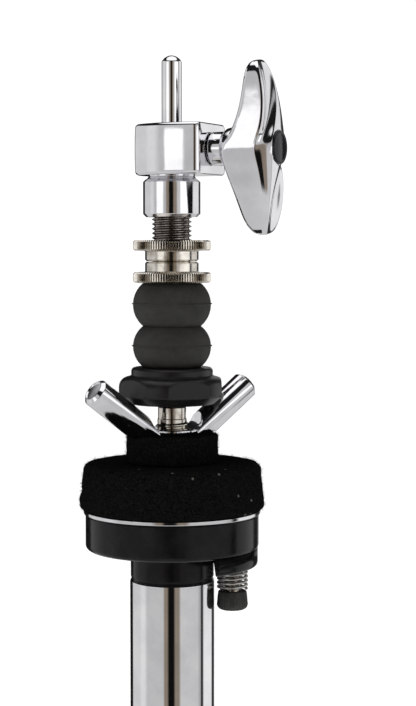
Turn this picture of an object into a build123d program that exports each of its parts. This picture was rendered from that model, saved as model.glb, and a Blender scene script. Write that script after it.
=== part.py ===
from build123d import *
from math import asin, cos, radians, sin
import os

# The upper section of a hi-hat cymbal stand: the tube that drops into the stand's base,
# the tilting seat for the bottom cymbal, the pull rod, and the clutch for the top cymbal.
# Millimetres. Origin at the centre of the tube's lower end, +Z up along the tube.
# The tilter screw stands to +X of the tube, and a player sits towards -Y.

# --- Driving dimensions -----------------------------------------------------------------
RUNNING = 0.06            # radial clearance of a running fit
FACE_GAP = 0.1            # gap between two pieces that turn or tilt on each other

# Upper tube, seat socket and the threaded post above it
TUBE_LENGTH = 120.0
TUBE_RADIUS = 12.7
TUBE_WALL = 1.5
NECK_HEIGHT = 9.4         # from the tube's upper end to the cup's underside
NECK_RADIUS = 12.5
CUP_HEIGHT = 10.7
CUP_RADIUS = 26.0
CUP_WALL = 2.5
CUP_RECESS_DEPTH = 6.6
BOSS_RADIUS = 10.5
SPIGOT_DEPTH = 18.0       # how far the socket's spigot stands down in the tube
POST_RADIUS = 5.0         # M10 thread, at its crests
POST_PILOT_RADIUS = 4.2   # plain nose above the thread
POST_PILOT_LENGTH = 3.8
POST_DEPTH = 12.0         # how far the post screws into the socket
BUSHING_RADIUS = 6.5
BUSHING_LENGTH = 11.0

# Tilter: a vertical screw through the socket's lug, which lifts one side of the seat
TILTER_X = 18.1
TILTER_SCREW_RADIUS = 2.5
TILTER_PITCH = 1.0
TILTER_TRAVEL = 2.7
LUG_HEIGHT = 4.8
LUG_RADIUS = 25.75
LUG_CHORD_X = 12.4        # the lug is the part of a disc beyond this chord
INSERT_RADIUS = 4.2
SPRING_HEIGHT = 8.1
SPRING_RADIUS = 4.7       # over the outside of the coils
SPRING_WIRE = 0.9
SPRING_TURNS = 5.5
KNOB_HEIGHT = 5.7
KNOB_TOP_RADIUS = 4.4
KNOB_BASE_RADIUS = 4.7

# Cymbal seat: a plate and two felts, held down by a wing nut
PLATE_THICKNESS = 1.2
PLATE_RADIUS = 26.55
SEAT_BORE_RADIUS = 6.6    # clears the post while the seat tilts
LARGE_FELT_HEIGHT = 14.0
LARGE_FELT_TOP_RADIUS = 26.5
LARGE_FELT_BASE_RADIUS = 27.6
SMALL_FELT_HEIGHT = 8.6
SMALL_FELT_RADIUS = 13.7
WING_NUT_RISE = 37.0      # degrees that each wing stands up from level
WING_NUT_YAW = 31.0       # degrees; the right wing points away from the player
WING_NUT_REACH = 26.0     # from the post's axis to the centre of a wing's end, level
WING_RADIUS = 4.25
WING_AXIS_DROP = 6.3      # the wings' axes cross the post's axis this far under the hub
HUB_RADIUS = 7.75
HUB_THICKNESS = 1.4
HUB_SLEEVE_RADIUS = 6.5
HUB_SLEEVE_DEPTH = 6.0

# Pull rod
ROD_RADIUS = 3.0
ROD_TOP_Z = 276.4
ROD_DOME_HEIGHT = 1.9
ROD_TAIL = 20.0           # how far the rod stands out of the tube with the pedal down
ROD_THREAD_LENGTH = 11.0
ROD_THREAD_RADIUS = 2.95  # M6 thread, at its crests
ROD_THREAD_ROOT_RADIUS = 2.5
ROD_NUT_FLATS = 10.0
ROD_NUT_HEIGHT = 5.0

# Clutch, from its lower end upwards
CLUTCH_REST_GAP = 0.8     # between the post's nose and the bottom nut
BOTTOM_NUT_BODY_HEIGHT = 8.2
BOTTOM_NUT_COLLAR_HEIGHT = 2.7
BOTTOM_NUT_RADIUS = 15.9
BOTTOM_NUT_FLAT_DISTANCE = 14.6
BOTTOM_NUT_FLATS = 5
BOTTOM_NUT_FLAT_AZIMUTH = -70.5
BOTTOM_NUT_COLLAR_RADIUS = 12.2
NUT_INSERT_RADIUS = 8.0
LOWER_CUSHION_HEIGHT = 12.2
UPPER_CUSHION_HEIGHT = 12.8
CUSHION_RADIUS = 11.65
CUSHION_END_RADIUS = 8.65
LOCK_NUT_FLANGE_RADIUS = 11.6
LOCK_NUT_FLANGE_HEIGHT = 3.2
LOCK_NUT_HUB_RADIUS = 8.0
LOCK_NUT_HUB_HEIGHT = 3.1
SLEEVE_RADIUS = 5.9       # M12 thread, at its crests
SLEEVE_BORE_RADIUS = 3.2
COLLAR_BOTTOM_Z = 228.7
COLLAR_HEIGHT = 11.0
COLLAR_RADIUS = 8.55
BLOCK_BOTTOM_Z = 241.0
BLOCK_HEIGHT = 15.1
BLOCK_RADIUS = 11.0
BLOCK_FACE = 13.4         # from the rod's axis to the flat face under the wing bolt

# Wing bolt: its axis is level, at the middle of the block
WING_BOLT_YAW = 26.4      # degrees that the bolt points towards the player from +X
WING_BOLT_ROLL = 7.0      # degrees that the wings lean from upright
BOLT_RADIUS = 4.0         # M8 thread, at its crests
BOLT_PITCH = 1.25
BOLT_TRAVEL_TURNS = 2
SHOE_LENGTH = 4.0
WING_SPAN = 50.0
WING_ROOT_WIDTH = 15.0
WING_TIP_RADIUS = 5.0
WING_BACK_ROOT = 20.0     # distances from the rod's axis, along the bolt
WING_BACK_TIP = 26.0
WING_FRONT_ROOT = 29.0
WING_FRONT_TIP = 31.0
BOSS_FRONT = 34.0
CAP_RADIUS = 5.0
CAP_THICKNESS = 0.9

# --- Heights that follow from them --------------------------------------------------------
TUBE_BORE_RADIUS = TUBE_RADIUS - TUBE_WALL
CUP_BOTTOM_Z = TUBE_LENGTH + NECK_HEIGHT
CUP_TOP_Z = CUP_BOTTOM_Z + CUP_HEIGHT
CUP_FLOOR_Z = CUP_TOP_Z - CUP_RECESS_DEPTH
LUG_BOTTOM_Z = CUP_BOTTOM_Z - LUG_HEIGHT
SPRING_BOTTOM_Z = LUG_BOTTOM_Z - SPRING_HEIGHT
KNOB_BOTTOM_Z = SPRING_BOTTOM_Z - KNOB_HEIGHT
PLATE_BOTTOM_Z = CUP_TOP_Z + FACE_GAP
LARGE_FELT_BOTTOM_Z = PLATE_BOTTOM_Z + PLATE_THICKNESS
SMALL_FELT_BOTTOM_Z = LARGE_FELT_BOTTOM_Z + LARGE_FELT_HEIGHT + FACE_GAP
HUB_BASE_Z = SMALL_FELT_BOTTOM_Z + SMALL_FELT_HEIGHT + FACE_GAP
POST_TOP_Z = HUB_BASE_Z + 8.1
BOTTOM_NUT_Z = POST_TOP_Z + CLUTCH_REST_GAP
BOTTOM_NUT_TOP_Z = BOTTOM_NUT_Z + BOTTOM_NUT_BODY_HEIGHT + BOTTOM_NUT_COLLAR_HEIGHT
LOWER_CUSHION_Z = BOTTOM_NUT_TOP_Z + FACE_GAP
UPPER_CUSHION_Z = LOWER_CUSHION_Z + LOWER_CUSHION_HEIGHT
LOWER_LOCK_NUT_Z = UPPER_CUSHION_Z + UPPER_CUSHION_HEIGHT + FACE_GAP
LOCK_NUT_HEIGHT = LOCK_NUT_FLANGE_HEIGHT + LOCK_NUT_HUB_HEIGHT
UPPER_LOCK_NUT_Z = LOWER_LOCK_NUT_Z + LOCK_NUT_HEIGHT + FACE_GAP
SLEEVE_BOTTOM_Z = BOTTOM_NUT_Z + 0.4
SLEEVE_TOP_Z = COLLAR_BOTTOM_Z + 9.0
BOLT_Z = BLOCK_BOTTOM_Z + BLOCK_HEIGHT / 2


def turned(points):
    """A solid of revolution about Z, from (radius, height) corners."""
    outline = Polyline(*[(radius, 0, height) for radius, height in points], close=True)
    return revolve(make_face(outline), Axis.Z)


def tube_between(outer, inner, low, high):
    """A plain round sleeve between two heights."""
    return turned([(inner, low), (outer, low), (outer, high), (inner, high)])


def upright(radius, low, high, x=0.0):
    """A solid cylinder between two heights, standing at x."""
    return Pos(x, 0, low) * Cylinder(radius, high - low, align=(Align.CENTER, Align.CENTER, Align.MIN))


def hex_nut(flats, bore, low, height, chamfer_height=0.8):
    """A hexagon nut with turned corners."""
    corner = flats / 2 / cos(radians(30))
    blank = Pos(0, 0, low) * extrude(RegularPolygon(corner, 6), height)
    dome = turned([
        (0, low), (flats / 2, low), (corner, low + chamfer_height),
        (corner, low + height - chamfer_height), (flats / 2, low + height), (0, low + height),
    ])
    return (blank & dome) - upright(bore, low - 1, low + height + 1)


# --- Tube, socket and post (these stay still) ------------------------------------------------
def upper_tube():
    return tube_between(TUBE_RADIUS, TUBE_BORE_RADIUS, 0, TUBE_LENGTH)


def seat_socket():
    """Spigot, neck and shallow cup in one moulding, with the tilter's lug on one side."""
    spigot = upright(TUBE_BORE_RADIUS, TUBE_LENGTH - SPIGOT_DEPTH, TUBE_LENGTH)
    neck = upright(NECK_RADIUS, TUBE_LENGTH, CUP_BOTTOM_Z)
    rim_radius = 1.2
    cup = turned([
        (0, CUP_BOTTOM_Z), (CUP_RADIUS - rim_radius, CUP_BOTTOM_Z),
        (CUP_RADIUS, CUP_BOTTOM_Z + rim_radius), (CUP_RADIUS, CUP_TOP_Z), (0, CUP_TOP_Z),
    ])
    lug_disc = upright(LUG_RADIUS, LUG_BOTTOM_Z, CUP_BOTTOM_Z + rim_radius)
    lug_side = Pos(LUG_CHORD_X + LUG_RADIUS, 0, LUG_BOTTOM_Z) * Box(
        2 * LUG_RADIUS, 2 * LUG_RADIUS, 4 * LUG_HEIGHT)
    body = spigot + neck + cup + (lug_disc & lug_side)
    recess = tube_between(CUP_RADIUS - CUP_WALL, BOSS_RADIUS, CUP_FLOOR_Z, CUP_TOP_Z + 1)
    boss_top = upright(BOSS_RADIUS + 1, CUP_FLOOR_Z, CUP_TOP_Z + 1)
    post_bore = upright(POST_RADIUS, CUP_FLOOR_Z - POST_DEPTH, CUP_TOP_Z)
    rod_bore = upright(ROD_RADIUS + 0.6, 0, CUP_TOP_Z)
    bushing_seat = upright(BUSHING_RADIUS, 0, TUBE_LENGTH - SPIGOT_DEPTH + BUSHING_LENGTH)
    insert_bore = upright(INSERT_RADIUS, LUG_BOTTOM_Z - 1, CUP_TOP_Z, TILTER_X)
    return body - recess - boss_top - post_bore - rod_bore - bushing_seat - insert_bore


def seat_post():
    """Hollow threaded post, with a plain nose that the rod comes out of."""
    low = CUP_FLOOR_Z - POST_DEPTH
    thread_top = POST_TOP_Z - POST_PILOT_LENGTH
    bore = ROD_RADIUS + 0.3
    return turned([
        (bore, low), (POST_RADIUS, low), (POST_RADIUS, thread_top - 0.5),
        (POST_PILOT_RADIUS, thread_top), (POST_PILOT_RADIUS, POST_TOP_Z - 0.3),
        (POST_PILOT_RADIUS - 0.3, POST_TOP_Z), (bore, POST_TOP_Z),
    ])


def post_lock_nut():
    """Thin nut under the seat plate that locks the post in the socket."""
    return hex_nut(17.0, POST_RADIUS, CUP_FLOOR_Z, 5.0)


def top_rod_bushing():
    """Plastic guide for the pull rod, pressed into the socket's spigot."""
    low = TUBE_LENGTH - SPIGOT_DEPTH
    return tube_between(BUSHING_RADIUS, ROD_RADIUS + RUNNING, low, low + BUSHING_LENGTH)


def lug_thread_insert():
    """Metal nut moulded into the lug for the tilter screw."""
    bore = TILTER_SCREW_RADIUS + RUNNING
    sleeve = tube_between(INSERT_RADIUS, bore, LUG_BOTTOM_Z, CUP_FLOOR_Z)
    return Pos(TILTER_X, 0, 0) * sleeve


# --- Tilter ----------------------------------------------------------------------------------
def tilter_spring():
    """Coil spring that keeps the tilter screw from shaking loose."""
    gap = FACE_GAP
    coil_radius = SPRING_RADIUS - SPRING_WIRE / 2
    rise = SPRING_HEIGHT - SPRING_WIRE - 2 * gap
    path = Pos(TILTER_X, 0, SPRING_BOTTOM_Z + gap + SPRING_WIRE / 2) * Helix(
        rise / SPRING_TURNS, rise, coil_radius)
    section = Plane(path @ 0, z_dir=path % 0) * Circle(SPRING_WIRE / 2)
    return sweep(section, path, is_frenet=True)


def tilter_screw():
    """Headless screw with a domed tip that bears on the seat plate."""
    tip = PLATE_BOTTOM_Z - 0.15
    foot = KNOB_BOTTOM_Z + 1.5
    radius = TILTER_SCREW_RADIUS
    return Pos(TILTER_X, 0, 0) * turned([
        (0, foot), (radius, foot), (radius, tip - 1.0), (radius - 0.6, tip - 0.3), (0.6, tip), (0, tip),
    ])


def tilter_knob():
    """Small round knob moulded on the screw's lower end."""
    low, high = KNOB_BOTTOM_Z, KNOB_BOTTOM_Z + KNOB_HEIGHT
    blank = turned([
        (0, low), (KNOB_BASE_RADIUS - 1.6, low), (KNOB_BASE_RADIUS - 0.4, low + 0.6),
        (KNOB_BASE_RADIUS, low + 1.8), (KNOB_TOP_RADIUS, high - 0.3), (KNOB_TOP_RADIUS - 0.3, high), (0, high),
    ])
    return Pos(TILTER_X, 0, 0) * (blank - upright(TILTER_SCREW_RADIUS, low + 1.5, high + 1))


# --- Cymbal seat -----------------------------------------------------------------------------
def tilt_plate():
    plate = tube_between(PLATE_RADIUS, SEAT_BORE_RADIUS, PLATE_BOTTOM_Z, LARGE_FELT_BOTTOM_Z)
    return chamfer(plate.edges().filter_by(GeomType.CIRCLE).group_by(SortBy.RADIUS)[-1], 0.2)


def large_felt():
    """Wide felt washer, with a soft upper corner and a flare towards its base."""
    low, high = LARGE_FELT_BOTTOM_Z, LARGE_FELT_BOTTOM_Z + LARGE_FELT_HEIGHT
    return turned([
        (SEAT_BORE_RADIUS, low), (LARGE_FELT_BASE_RADIUS - 1.2, low),
        (LARGE_FELT_BASE_RADIUS - 0.2, low + 0.8), (LARGE_FELT_BASE_RADIUS, low + 2.2),
        (LARGE_FELT_TOP_RADIUS + 0.4, high - 6.5), (LARGE_FELT_TOP_RADIUS, high - 2.4),
        (LARGE_FELT_TOP_RADIUS - 0.5, high - 0.9), (LARGE_FELT_TOP_RADIUS - 1.8, high),
        (SEAT_BORE_RADIUS, high),
    ])


def small_felt():
    low, high = SMALL_FELT_BOTTOM_Z, SMALL_FELT_BOTTOM_Z + SMALL_FELT_HEIGHT
    bore = HUB_SLEEVE_RADIUS + 0.3
    return turned([
        (bore, low), (SMALL_FELT_RADIUS, low), (SMALL_FELT_RADIUS, high - 0.8),
        (SMALL_FELT_RADIUS - 0.8, high), (bore, high),
    ])


def wing_nut():
    """Two round bars rise in a V from a thin hub, whose sleeve stands down in the small felt."""
    rise = radians(WING_NUT_RISE)
    reach = WING_NUT_REACH / cos(rise)
    start = 3.0 / cos(rise)
    bar_end = Pos(0, 0, start) * Cylinder(
        WING_RADIUS, reach - start, align=(Align.CENTER, Align.CENTER, Align.MIN))
    tip_edge = bar_end.edges().filter_by(GeomType.CIRCLE).sort_by(Axis.Z)[-1]
    bar = Rot(0, 90 - WING_NUT_RISE, 0) * chamfer(tip_edge, 0.7)
    bar = Pos(0, 0, HUB_BASE_Z - WING_AXIS_DROP) * bar
    wings = Rot(0, 0, WING_NUT_YAW) * bar + Rot(0, 0, WING_NUT_YAW + 180) * bar
    above = Pos(0, 0, HUB_BASE_Z) * Box(
        3 * WING_NUT_REACH, 3 * WING_NUT_REACH, 60, align=(Align.CENTER, Align.CENTER, Align.MIN))
    hub = upright(HUB_RADIUS, HUB_BASE_Z, HUB_BASE_Z + HUB_THICKNESS)
    sleeve = upright(HUB_SLEEVE_RADIUS, HUB_BASE_Z - HUB_SLEEVE_DEPTH, HUB_BASE_Z)
    bore = upright(POST_RADIUS + RUNNING, HUB_BASE_Z - 20, HUB_BASE_Z + 20)
    return (wings & above) + hub + sleeve - bore


# --- Pull rod --------------------------------------------------------------------------------
def pull_rod():
    """Plain rod with a domed top and a short thread at its foot."""
    low = -ROD_TAIL
    thread_top = low + ROD_THREAD_LENGTH
    nut_top = thread_top + ROD_NUT_HEIGHT
    shoulder = ROD_TOP_Z - ROD_DOME_HEIGHT
    dome_radius = (ROD_RADIUS ** 2 + ROD_DOME_HEIGHT ** 2) / (2 * ROD_DOME_HEIGHT)
    halfway = asin(ROD_RADIUS / dome_radius) / 2
    side = Polyline(
        (0, 0, ROD_TOP_Z), (0, 0, low), (ROD_THREAD_RADIUS - 0.8, 0, low),
        (ROD_THREAD_RADIUS, 0, low + 0.8), (ROD_THREAD_RADIUS, 0, thread_top),
        (ROD_THREAD_ROOT_RADIUS, 0, thread_top), (ROD_THREAD_ROOT_RADIUS, 0, nut_top),
        (ROD_RADIUS, 0, nut_top), (ROD_RADIUS, 0, shoulder))
    dome = ThreePointArc(
        (ROD_RADIUS, 0, shoulder),
        (dome_radius * sin(halfway), 0, ROD_TOP_Z - dome_radius * (1 - cos(halfway))),
        (0, 0, ROD_TOP_Z))
    return revolve(make_face(side + dome), Axis.Z)


def rod_lock_nut():
    """Locks the rod in the pedal's coupling."""
    return hex_nut(
        ROD_NUT_FLATS, ROD_THREAD_ROOT_RADIUS, -ROD_TAIL + ROD_THREAD_LENGTH, ROD_NUT_HEIGHT)


# --- Clutch ----------------------------------------------------------------------------------
def bottom_nut():
    """Moulded nut with five flats and a round collar, over a metal insert."""
    low = BOTTOM_NUT_Z
    shoulder = low + BOTTOM_NUT_BODY_HEIGHT
    radius, collar, top = BOTTOM_NUT_RADIUS, BOTTOM_NUT_COLLAR_RADIUS, BOTTOM_NUT_TOP_Z
    blank = turned([
        (0, low), (12.6, low), (radius, low + 2.7), (radius, shoulder - 2.6),
        (radius - 0.8, shoulder - 1.2), (radius - 2.4, shoulder - 0.3), (collar - 0.2, shoulder),
        (collar, shoulder + 0.6), (collar, top - 0.7), (collar - 0.7, top), (0, top),
    ])
    side = Box(10, 40, 3 * BOTTOM_NUT_BODY_HEIGHT, align=(Align.MIN, Align.CENTER, Align.CENTER))
    for index in range(BOTTOM_NUT_FLATS):
        azimuth = BOTTOM_NUT_FLAT_AZIMUTH + index * 360 / BOTTOM_NUT_FLATS
        blank -= Rot(0, 0, azimuth) * Pos(BOTTOM_NUT_FLAT_DISTANCE, 0, low) * side
    insert_seat = upright(NUT_INSERT_RADIUS, low + 1.4, top - 1.0)
    through = upright(SLEEVE_RADIUS + 0.4, low - 1, top + 1)
    return blank - insert_seat - through


def bottom_nut_insert():
    return tube_between(
        NUT_INSERT_RADIUS, SLEEVE_RADIUS + RUNNING, BOTTOM_NUT_Z + 1.4, BOTTOM_NUT_TOP_Z - 1.0)


def cushion(low, height):
    """Ball-shaped rubber cushion, flat where it meets its neighbours."""
    high = low + height
    bore = SLEEVE_RADIUS + 0.15
    middle = (low + high) / 2
    side = ThreePointArc(
        (CUSHION_END_RADIUS, 0, low), (CUSHION_RADIUS, 0, middle), (CUSHION_END_RADIUS, 0, high))
    rest = Polyline(
        (CUSHION_END_RADIUS, 0, high), (bore, 0, high), (bore, 0, low), (CUSHION_END_RADIUS, 0, low))
    return revolve(make_face(side + rest), Axis.Z)


def lower_cushion():
    return cushion(LOWER_CUSHION_Z, LOWER_CUSHION_HEIGHT)


def upper_cushion():
    return cushion(UPPER_CUSHION_Z, UPPER_CUSHION_HEIGHT)


def lock_nut(low, flange_low):
    """Round nut with a wide flange at one end, for finger grip."""
    high = low + LOCK_NUT_HEIGHT
    bore = SLEEVE_RADIUS + RUNNING
    flange_high = flange_low + LOCK_NUT_FLANGE_HEIGHT
    edge = 0.4
    hub = tube_between(LOCK_NUT_HUB_RADIUS, bore, low, high)
    flange = turned([
        (bore, flange_low), (LOCK_NUT_FLANGE_RADIUS - edge, flange_low),
        (LOCK_NUT_FLANGE_RADIUS, flange_low + edge), (LOCK_NUT_FLANGE_RADIUS, flange_high - edge),
        (LOCK_NUT_FLANGE_RADIUS - edge, flange_high), (bore, flange_high),
    ])
    return hub + flange


def lower_lock_nut():
    return lock_nut(LOWER_LOCK_NUT_Z, LOWER_LOCK_NUT_Z)


def upper_lock_nut():
    return lock_nut(UPPER_LOCK_NUT_Z, UPPER_LOCK_NUT_Z + LOCK_NUT_HUB_HEIGHT)


def clutch_sleeve():
    """Threaded tube that carries the nuts and cushions; its top is pressed into the block."""
    return tube_between(SLEEVE_RADIUS, SLEEVE_BORE_RADIUS, SLEEVE_BOTTOM_Z, SLEEVE_TOP_Z)


def along_bolt(shape):
    """Turn a shape made along +X, centred on the rod's axis, onto the wing bolt's axis."""
    return Pos(0, 0, BOLT_Z) * Rot(0, 0, -WING_BOLT_YAW) * shape


def bolt_cylinder(radius, start, end):
    """A cylinder along +X between two distances from the rod's axis."""
    return Pos(start, 0, 0) * Rot(0, 90, 0) * Cylinder(
        radius, end - start, align=(Align.CENTER, Align.CENTER, Align.MIN))


def clutch_block():
    """Clamp block with a round back and a flat face for the bolt, over a turned collar."""
    half = BLOCK_HEIGHT / 2
    plan = Circle(BLOCK_RADIUS) + Pos(BLOCK_FACE / 2, 0) * Rectangle(BLOCK_FACE, 2 * BLOCK_RADIUS)
    block = Pos(0, 0, -half) * extrude(plan, BLOCK_HEIGHT)
    face_corners = block.edges().filter_by(Axis.Z).group_by(Axis.X)[-1]
    block = fillet(face_corners, 2.5)
    rims = block.faces().sort_by(Axis.Z)[0].edges() + block.faces().sort_by(Axis.Z)[-1].edges()
    block = fillet(rims, 1.2)
    block -= bolt_cylinder(BOLT_RADIUS + RUNNING, 0, BLOCK_FACE + 1)
    block -= bolt_cylinder(4.7, BLOCK_FACE - 0.8, BLOCK_FACE + 1)
    edge = 0.8
    neck = 1.2
    collar_top = COLLAR_BOTTOM_Z + COLLAR_HEIGHT
    collar = turned([
        (0, COLLAR_BOTTOM_Z), (COLLAR_RADIUS - edge, COLLAR_BOTTOM_Z),
        (COLLAR_RADIUS, COLLAR_BOTTOM_Z + edge), (COLLAR_RADIUS, collar_top - 0.4),
        (COLLAR_RADIUS - neck, collar_top), (COLLAR_RADIUS - neck, BLOCK_BOTTOM_Z + 0.5),
        (0, BLOCK_BOTTOM_Z + 0.5),
    ])
    rod_bore = upright(ROD_RADIUS + RUNNING, SLEEVE_TOP_Z - 1, BLOCK_BOTTOM_Z + BLOCK_HEIGHT + 1)
    sleeve_bore = upright(SLEEVE_RADIUS, COLLAR_BOTTOM_Z - 1, SLEEVE_TOP_Z)
    return along_bolt(block) + collar - rod_bore - sleeve_bore


def clamp_shoe():
    """Brass pad between the bolt's tip and the rod, hollowed to fit the rod."""
    pad = bolt_cylinder(BOLT_RADIUS - 0.03, ROD_RADIUS * 0.6, ROD_RADIUS * 0.6 + SHOE_LENGTH)
    rod_hollow = Cylinder(ROD_RADIUS + 0.12, 20)
    return along_bolt(pad - rod_hollow)


def wing_bolt_stud():
    start = ROD_RADIUS * 0.6 + SHOE_LENGTH + FACE_GAP
    return along_bolt(bolt_cylinder(BOLT_RADIUS, start, WING_BACK_ROOT + 4))


def wing_bolt():
    """Cast handle: a flared neck, two wings swept outwards and a raised boss between them."""
    back_sweep = WING_BACK_TIP - WING_BACK_ROOT
    half_span = WING_SPAN / 2
    side_view = make_face(Polyline(
        (WING_BACK_ROOT, 0, 0), (WING_BACK_ROOT + back_sweep, 0, half_span),
        (WING_FRONT_TIP, 0, half_span), (WING_FRONT_ROOT, 0, 0),
        (WING_FRONT_TIP, 0, -half_span), (WING_BACK_ROOT + back_sweep, 0, -half_span), close=True))
    slab = extrude(side_view, WING_ROOT_WIDTH, both=True)
    tip_centre = half_span - WING_TIP_RADIUS
    root = WING_ROOT_WIDTH / 2
    outline = make_hull([
        *Circle(root).edges(),
        *(Pos(0, tip_centre) * Circle(WING_TIP_RADIUS)).edges(),
        *(Pos(0, -tip_centre) * Circle(WING_TIP_RADIUS)).edges(),
    ])
    front_view = Pos(WING_BACK_ROOT - 5, 0, 0) * Rot(0, 90, 0) * Rot(0, 0, 90) * extrude(outline, 30)
    neck_start = BLOCK_FACE - 0.5
    neck = Rot(0, 90, 0) * turned([
        (0, neck_start), (3.9, neck_start), (3.9, neck_start + 2.2), (4.6, WING_BACK_ROOT - 2.2),
        (6.2, WING_BACK_ROOT + 0.8), (6.2, WING_BACK_ROOT + 4), (0, WING_BACK_ROOT + 4),
    ])
    boss = Rot(0, 90, 0) * turned([
        (0, WING_BACK_ROOT + 3), (root, WING_BACK_ROOT + 3), (root, WING_FRONT_ROOT + 2.2),
        (root - 1.1, BOSS_FRONT), (0, BOSS_FRONT),
    ])
    cap_seat = bolt_cylinder(CAP_RADIUS, BOSS_FRONT - 0.4, BOSS_FRONT + 2)
    stud_hole = bolt_cylinder(BOLT_RADIUS, 0, WING_BACK_ROOT + 4)
    handle = (slab & front_view) + neck + boss - cap_seat - stud_hole
    return along_bolt(Rot(WING_BOLT_ROLL, 0, 0) * handle)


def wing_bolt_cap():
    return along_bolt(bolt_cylinder(CAP_RADIUS, BOSS_FRONT - 0.4, BOSS_FRONT - 0.4 + CAP_THICKNESS + 0.4))


PIECES = [
    upper_tube, seat_socket, seat_post, post_lock_nut, top_rod_bushing, lug_thread_insert,
    tilter_spring, tilter_screw, tilter_knob,
    tilt_plate, large_felt, small_felt, wing_nut,
    pull_rod, rod_lock_nut,
    bottom_nut, bottom_nut_insert, lower_cushion, upper_cushion, lower_lock_nut, upper_lock_nut,
    clutch_sleeve, clutch_block, clamp_shoe, wing_bolt_stud, wing_bolt, wing_bolt_cap,
]

os.makedirs("parts", exist_ok=True)
for make_piece in PIECES:
    piece = make_piece()
    piece.label = make_piece.__name__
    export_step(piece, f"parts/{make_piece.__name__}.step")
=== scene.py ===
"""Looks of the upper section of a hi-hat stand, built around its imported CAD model.

Each sub-assembly is a class that builds its meshes, dresses them in their finishes and
makes them ride on their CAD bodies. Sizes in the classes are millimetres; meshes are metres.
"""

import logging
import math
import random
from dataclasses import dataclass, field
from enum import Enum
from typing import Callable, Iterable, Optional, Sequence

import bmesh
import bpy
from mathutils import Matrix, Vector, noise


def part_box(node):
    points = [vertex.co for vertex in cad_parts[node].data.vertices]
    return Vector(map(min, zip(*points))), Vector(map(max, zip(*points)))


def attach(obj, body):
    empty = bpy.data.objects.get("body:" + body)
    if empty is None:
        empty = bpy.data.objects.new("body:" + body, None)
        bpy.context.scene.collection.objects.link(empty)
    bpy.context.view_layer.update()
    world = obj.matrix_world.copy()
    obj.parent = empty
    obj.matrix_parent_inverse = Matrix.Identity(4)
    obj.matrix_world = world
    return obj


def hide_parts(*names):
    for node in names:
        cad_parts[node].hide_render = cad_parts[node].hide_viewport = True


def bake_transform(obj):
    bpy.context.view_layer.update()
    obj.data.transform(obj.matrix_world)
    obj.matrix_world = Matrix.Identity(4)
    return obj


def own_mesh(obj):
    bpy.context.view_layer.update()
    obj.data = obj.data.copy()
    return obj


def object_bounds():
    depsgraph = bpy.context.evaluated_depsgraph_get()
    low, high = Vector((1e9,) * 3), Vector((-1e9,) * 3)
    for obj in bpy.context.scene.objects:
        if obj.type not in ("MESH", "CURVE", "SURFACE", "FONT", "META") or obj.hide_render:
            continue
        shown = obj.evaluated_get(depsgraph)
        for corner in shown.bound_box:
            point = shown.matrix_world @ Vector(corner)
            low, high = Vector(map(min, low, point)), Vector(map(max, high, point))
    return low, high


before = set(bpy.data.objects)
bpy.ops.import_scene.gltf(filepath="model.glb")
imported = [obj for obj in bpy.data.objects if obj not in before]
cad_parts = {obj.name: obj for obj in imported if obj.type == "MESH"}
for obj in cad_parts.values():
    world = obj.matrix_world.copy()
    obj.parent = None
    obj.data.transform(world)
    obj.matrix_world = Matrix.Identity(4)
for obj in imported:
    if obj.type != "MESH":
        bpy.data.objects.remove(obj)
CAD_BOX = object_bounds()

MM = 0.001
TURN = 2.0 * math.pi
Z_TO_X = Matrix.Rotation(math.radians(90), 4, "Y")
LOG = logging.getLogger("hi_hat")

Point = tuple[float, float]
Colour = tuple[float, float, float]


class Closure(Enum):
    """How a turned profile ends."""

    SOLID = "both ends lie on the axis"
    RING = "the profile closes on itself round a bore"


class Combine(Enum):
    """What a helper does to the piece that it is combined with."""

    ADD = "UNION"
    TAKE_AWAY = "DIFFERENCE"


class Body(Enum):
    """The CAD bodies that pieces ride on."""

    STAND = "stand"
    SEAT = "seat"
    TILTER = "tilter"
    WING_NUT = "wing_nut"
    ROD = "rod"
    CLUTCH = "clutch"
    UPPER_LOCK_NUT = "upper_lock_nut"
    LOWER_LOCK_NUT = "lower_lock_nut"
    BOTTOM_NUT = "bottom_nut"
    WING_BOLT = "wing_bolt"


# --- Shared ways of making meshes -----------------------------------------------------------


def link_mesh(name: str, mesh: bpy.types.Mesh) -> bpy.types.Object:
    """Put a mesh in the scene as an object at the origin."""
    piece = bpy.data.objects.new(name, mesh)
    bpy.context.scene.collection.objects.link(piece)
    return piece


def mesh_piece(
    name: str,
    points: Iterable[Sequence[float]],
    faces: Sequence[Sequence[int]],
    edges: Sequence[Sequence[int]] = (),
) -> bpy.types.Object:
    """Make an object from points in millimetres.

    Args:
        name: The piece's name.
        points: Its corners, in millimetres.
        faces: Its faces, as lists of corner numbers.
        edges: Loose edges, for profiles.

    Returns:
        The new object, smooth shaded.
    """
    mesh = bpy.data.meshes.new(name)
    mesh.from_pydata([tuple(c * MM for c in p) for p in points], list(edges), list(faces))
    mesh.validate()
    for polygon in mesh.polygons:
        polygon.use_smooth = True
    return link_mesh(name, mesh)


def arc(centre: Point, radius: Point, start: float, end: float, count: int) -> list[Point]:
    """Points along an elliptical arc.

    Args:
        centre: The ellipse's centre.
        radius: Its two half axes.
        start: First angle in degrees, from +X towards +Z.
        end: Last angle in degrees.
        count: How many points, both ends included.

    Returns:
        The points in order.
    """
    angles = [math.radians(start + (end - start) * i / (count - 1)) for i in range(count)]
    return [
        (centre[0] + radius[0] * math.cos(a), centre[1] + radius[1] * math.sin(a)) for a in angles]


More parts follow.
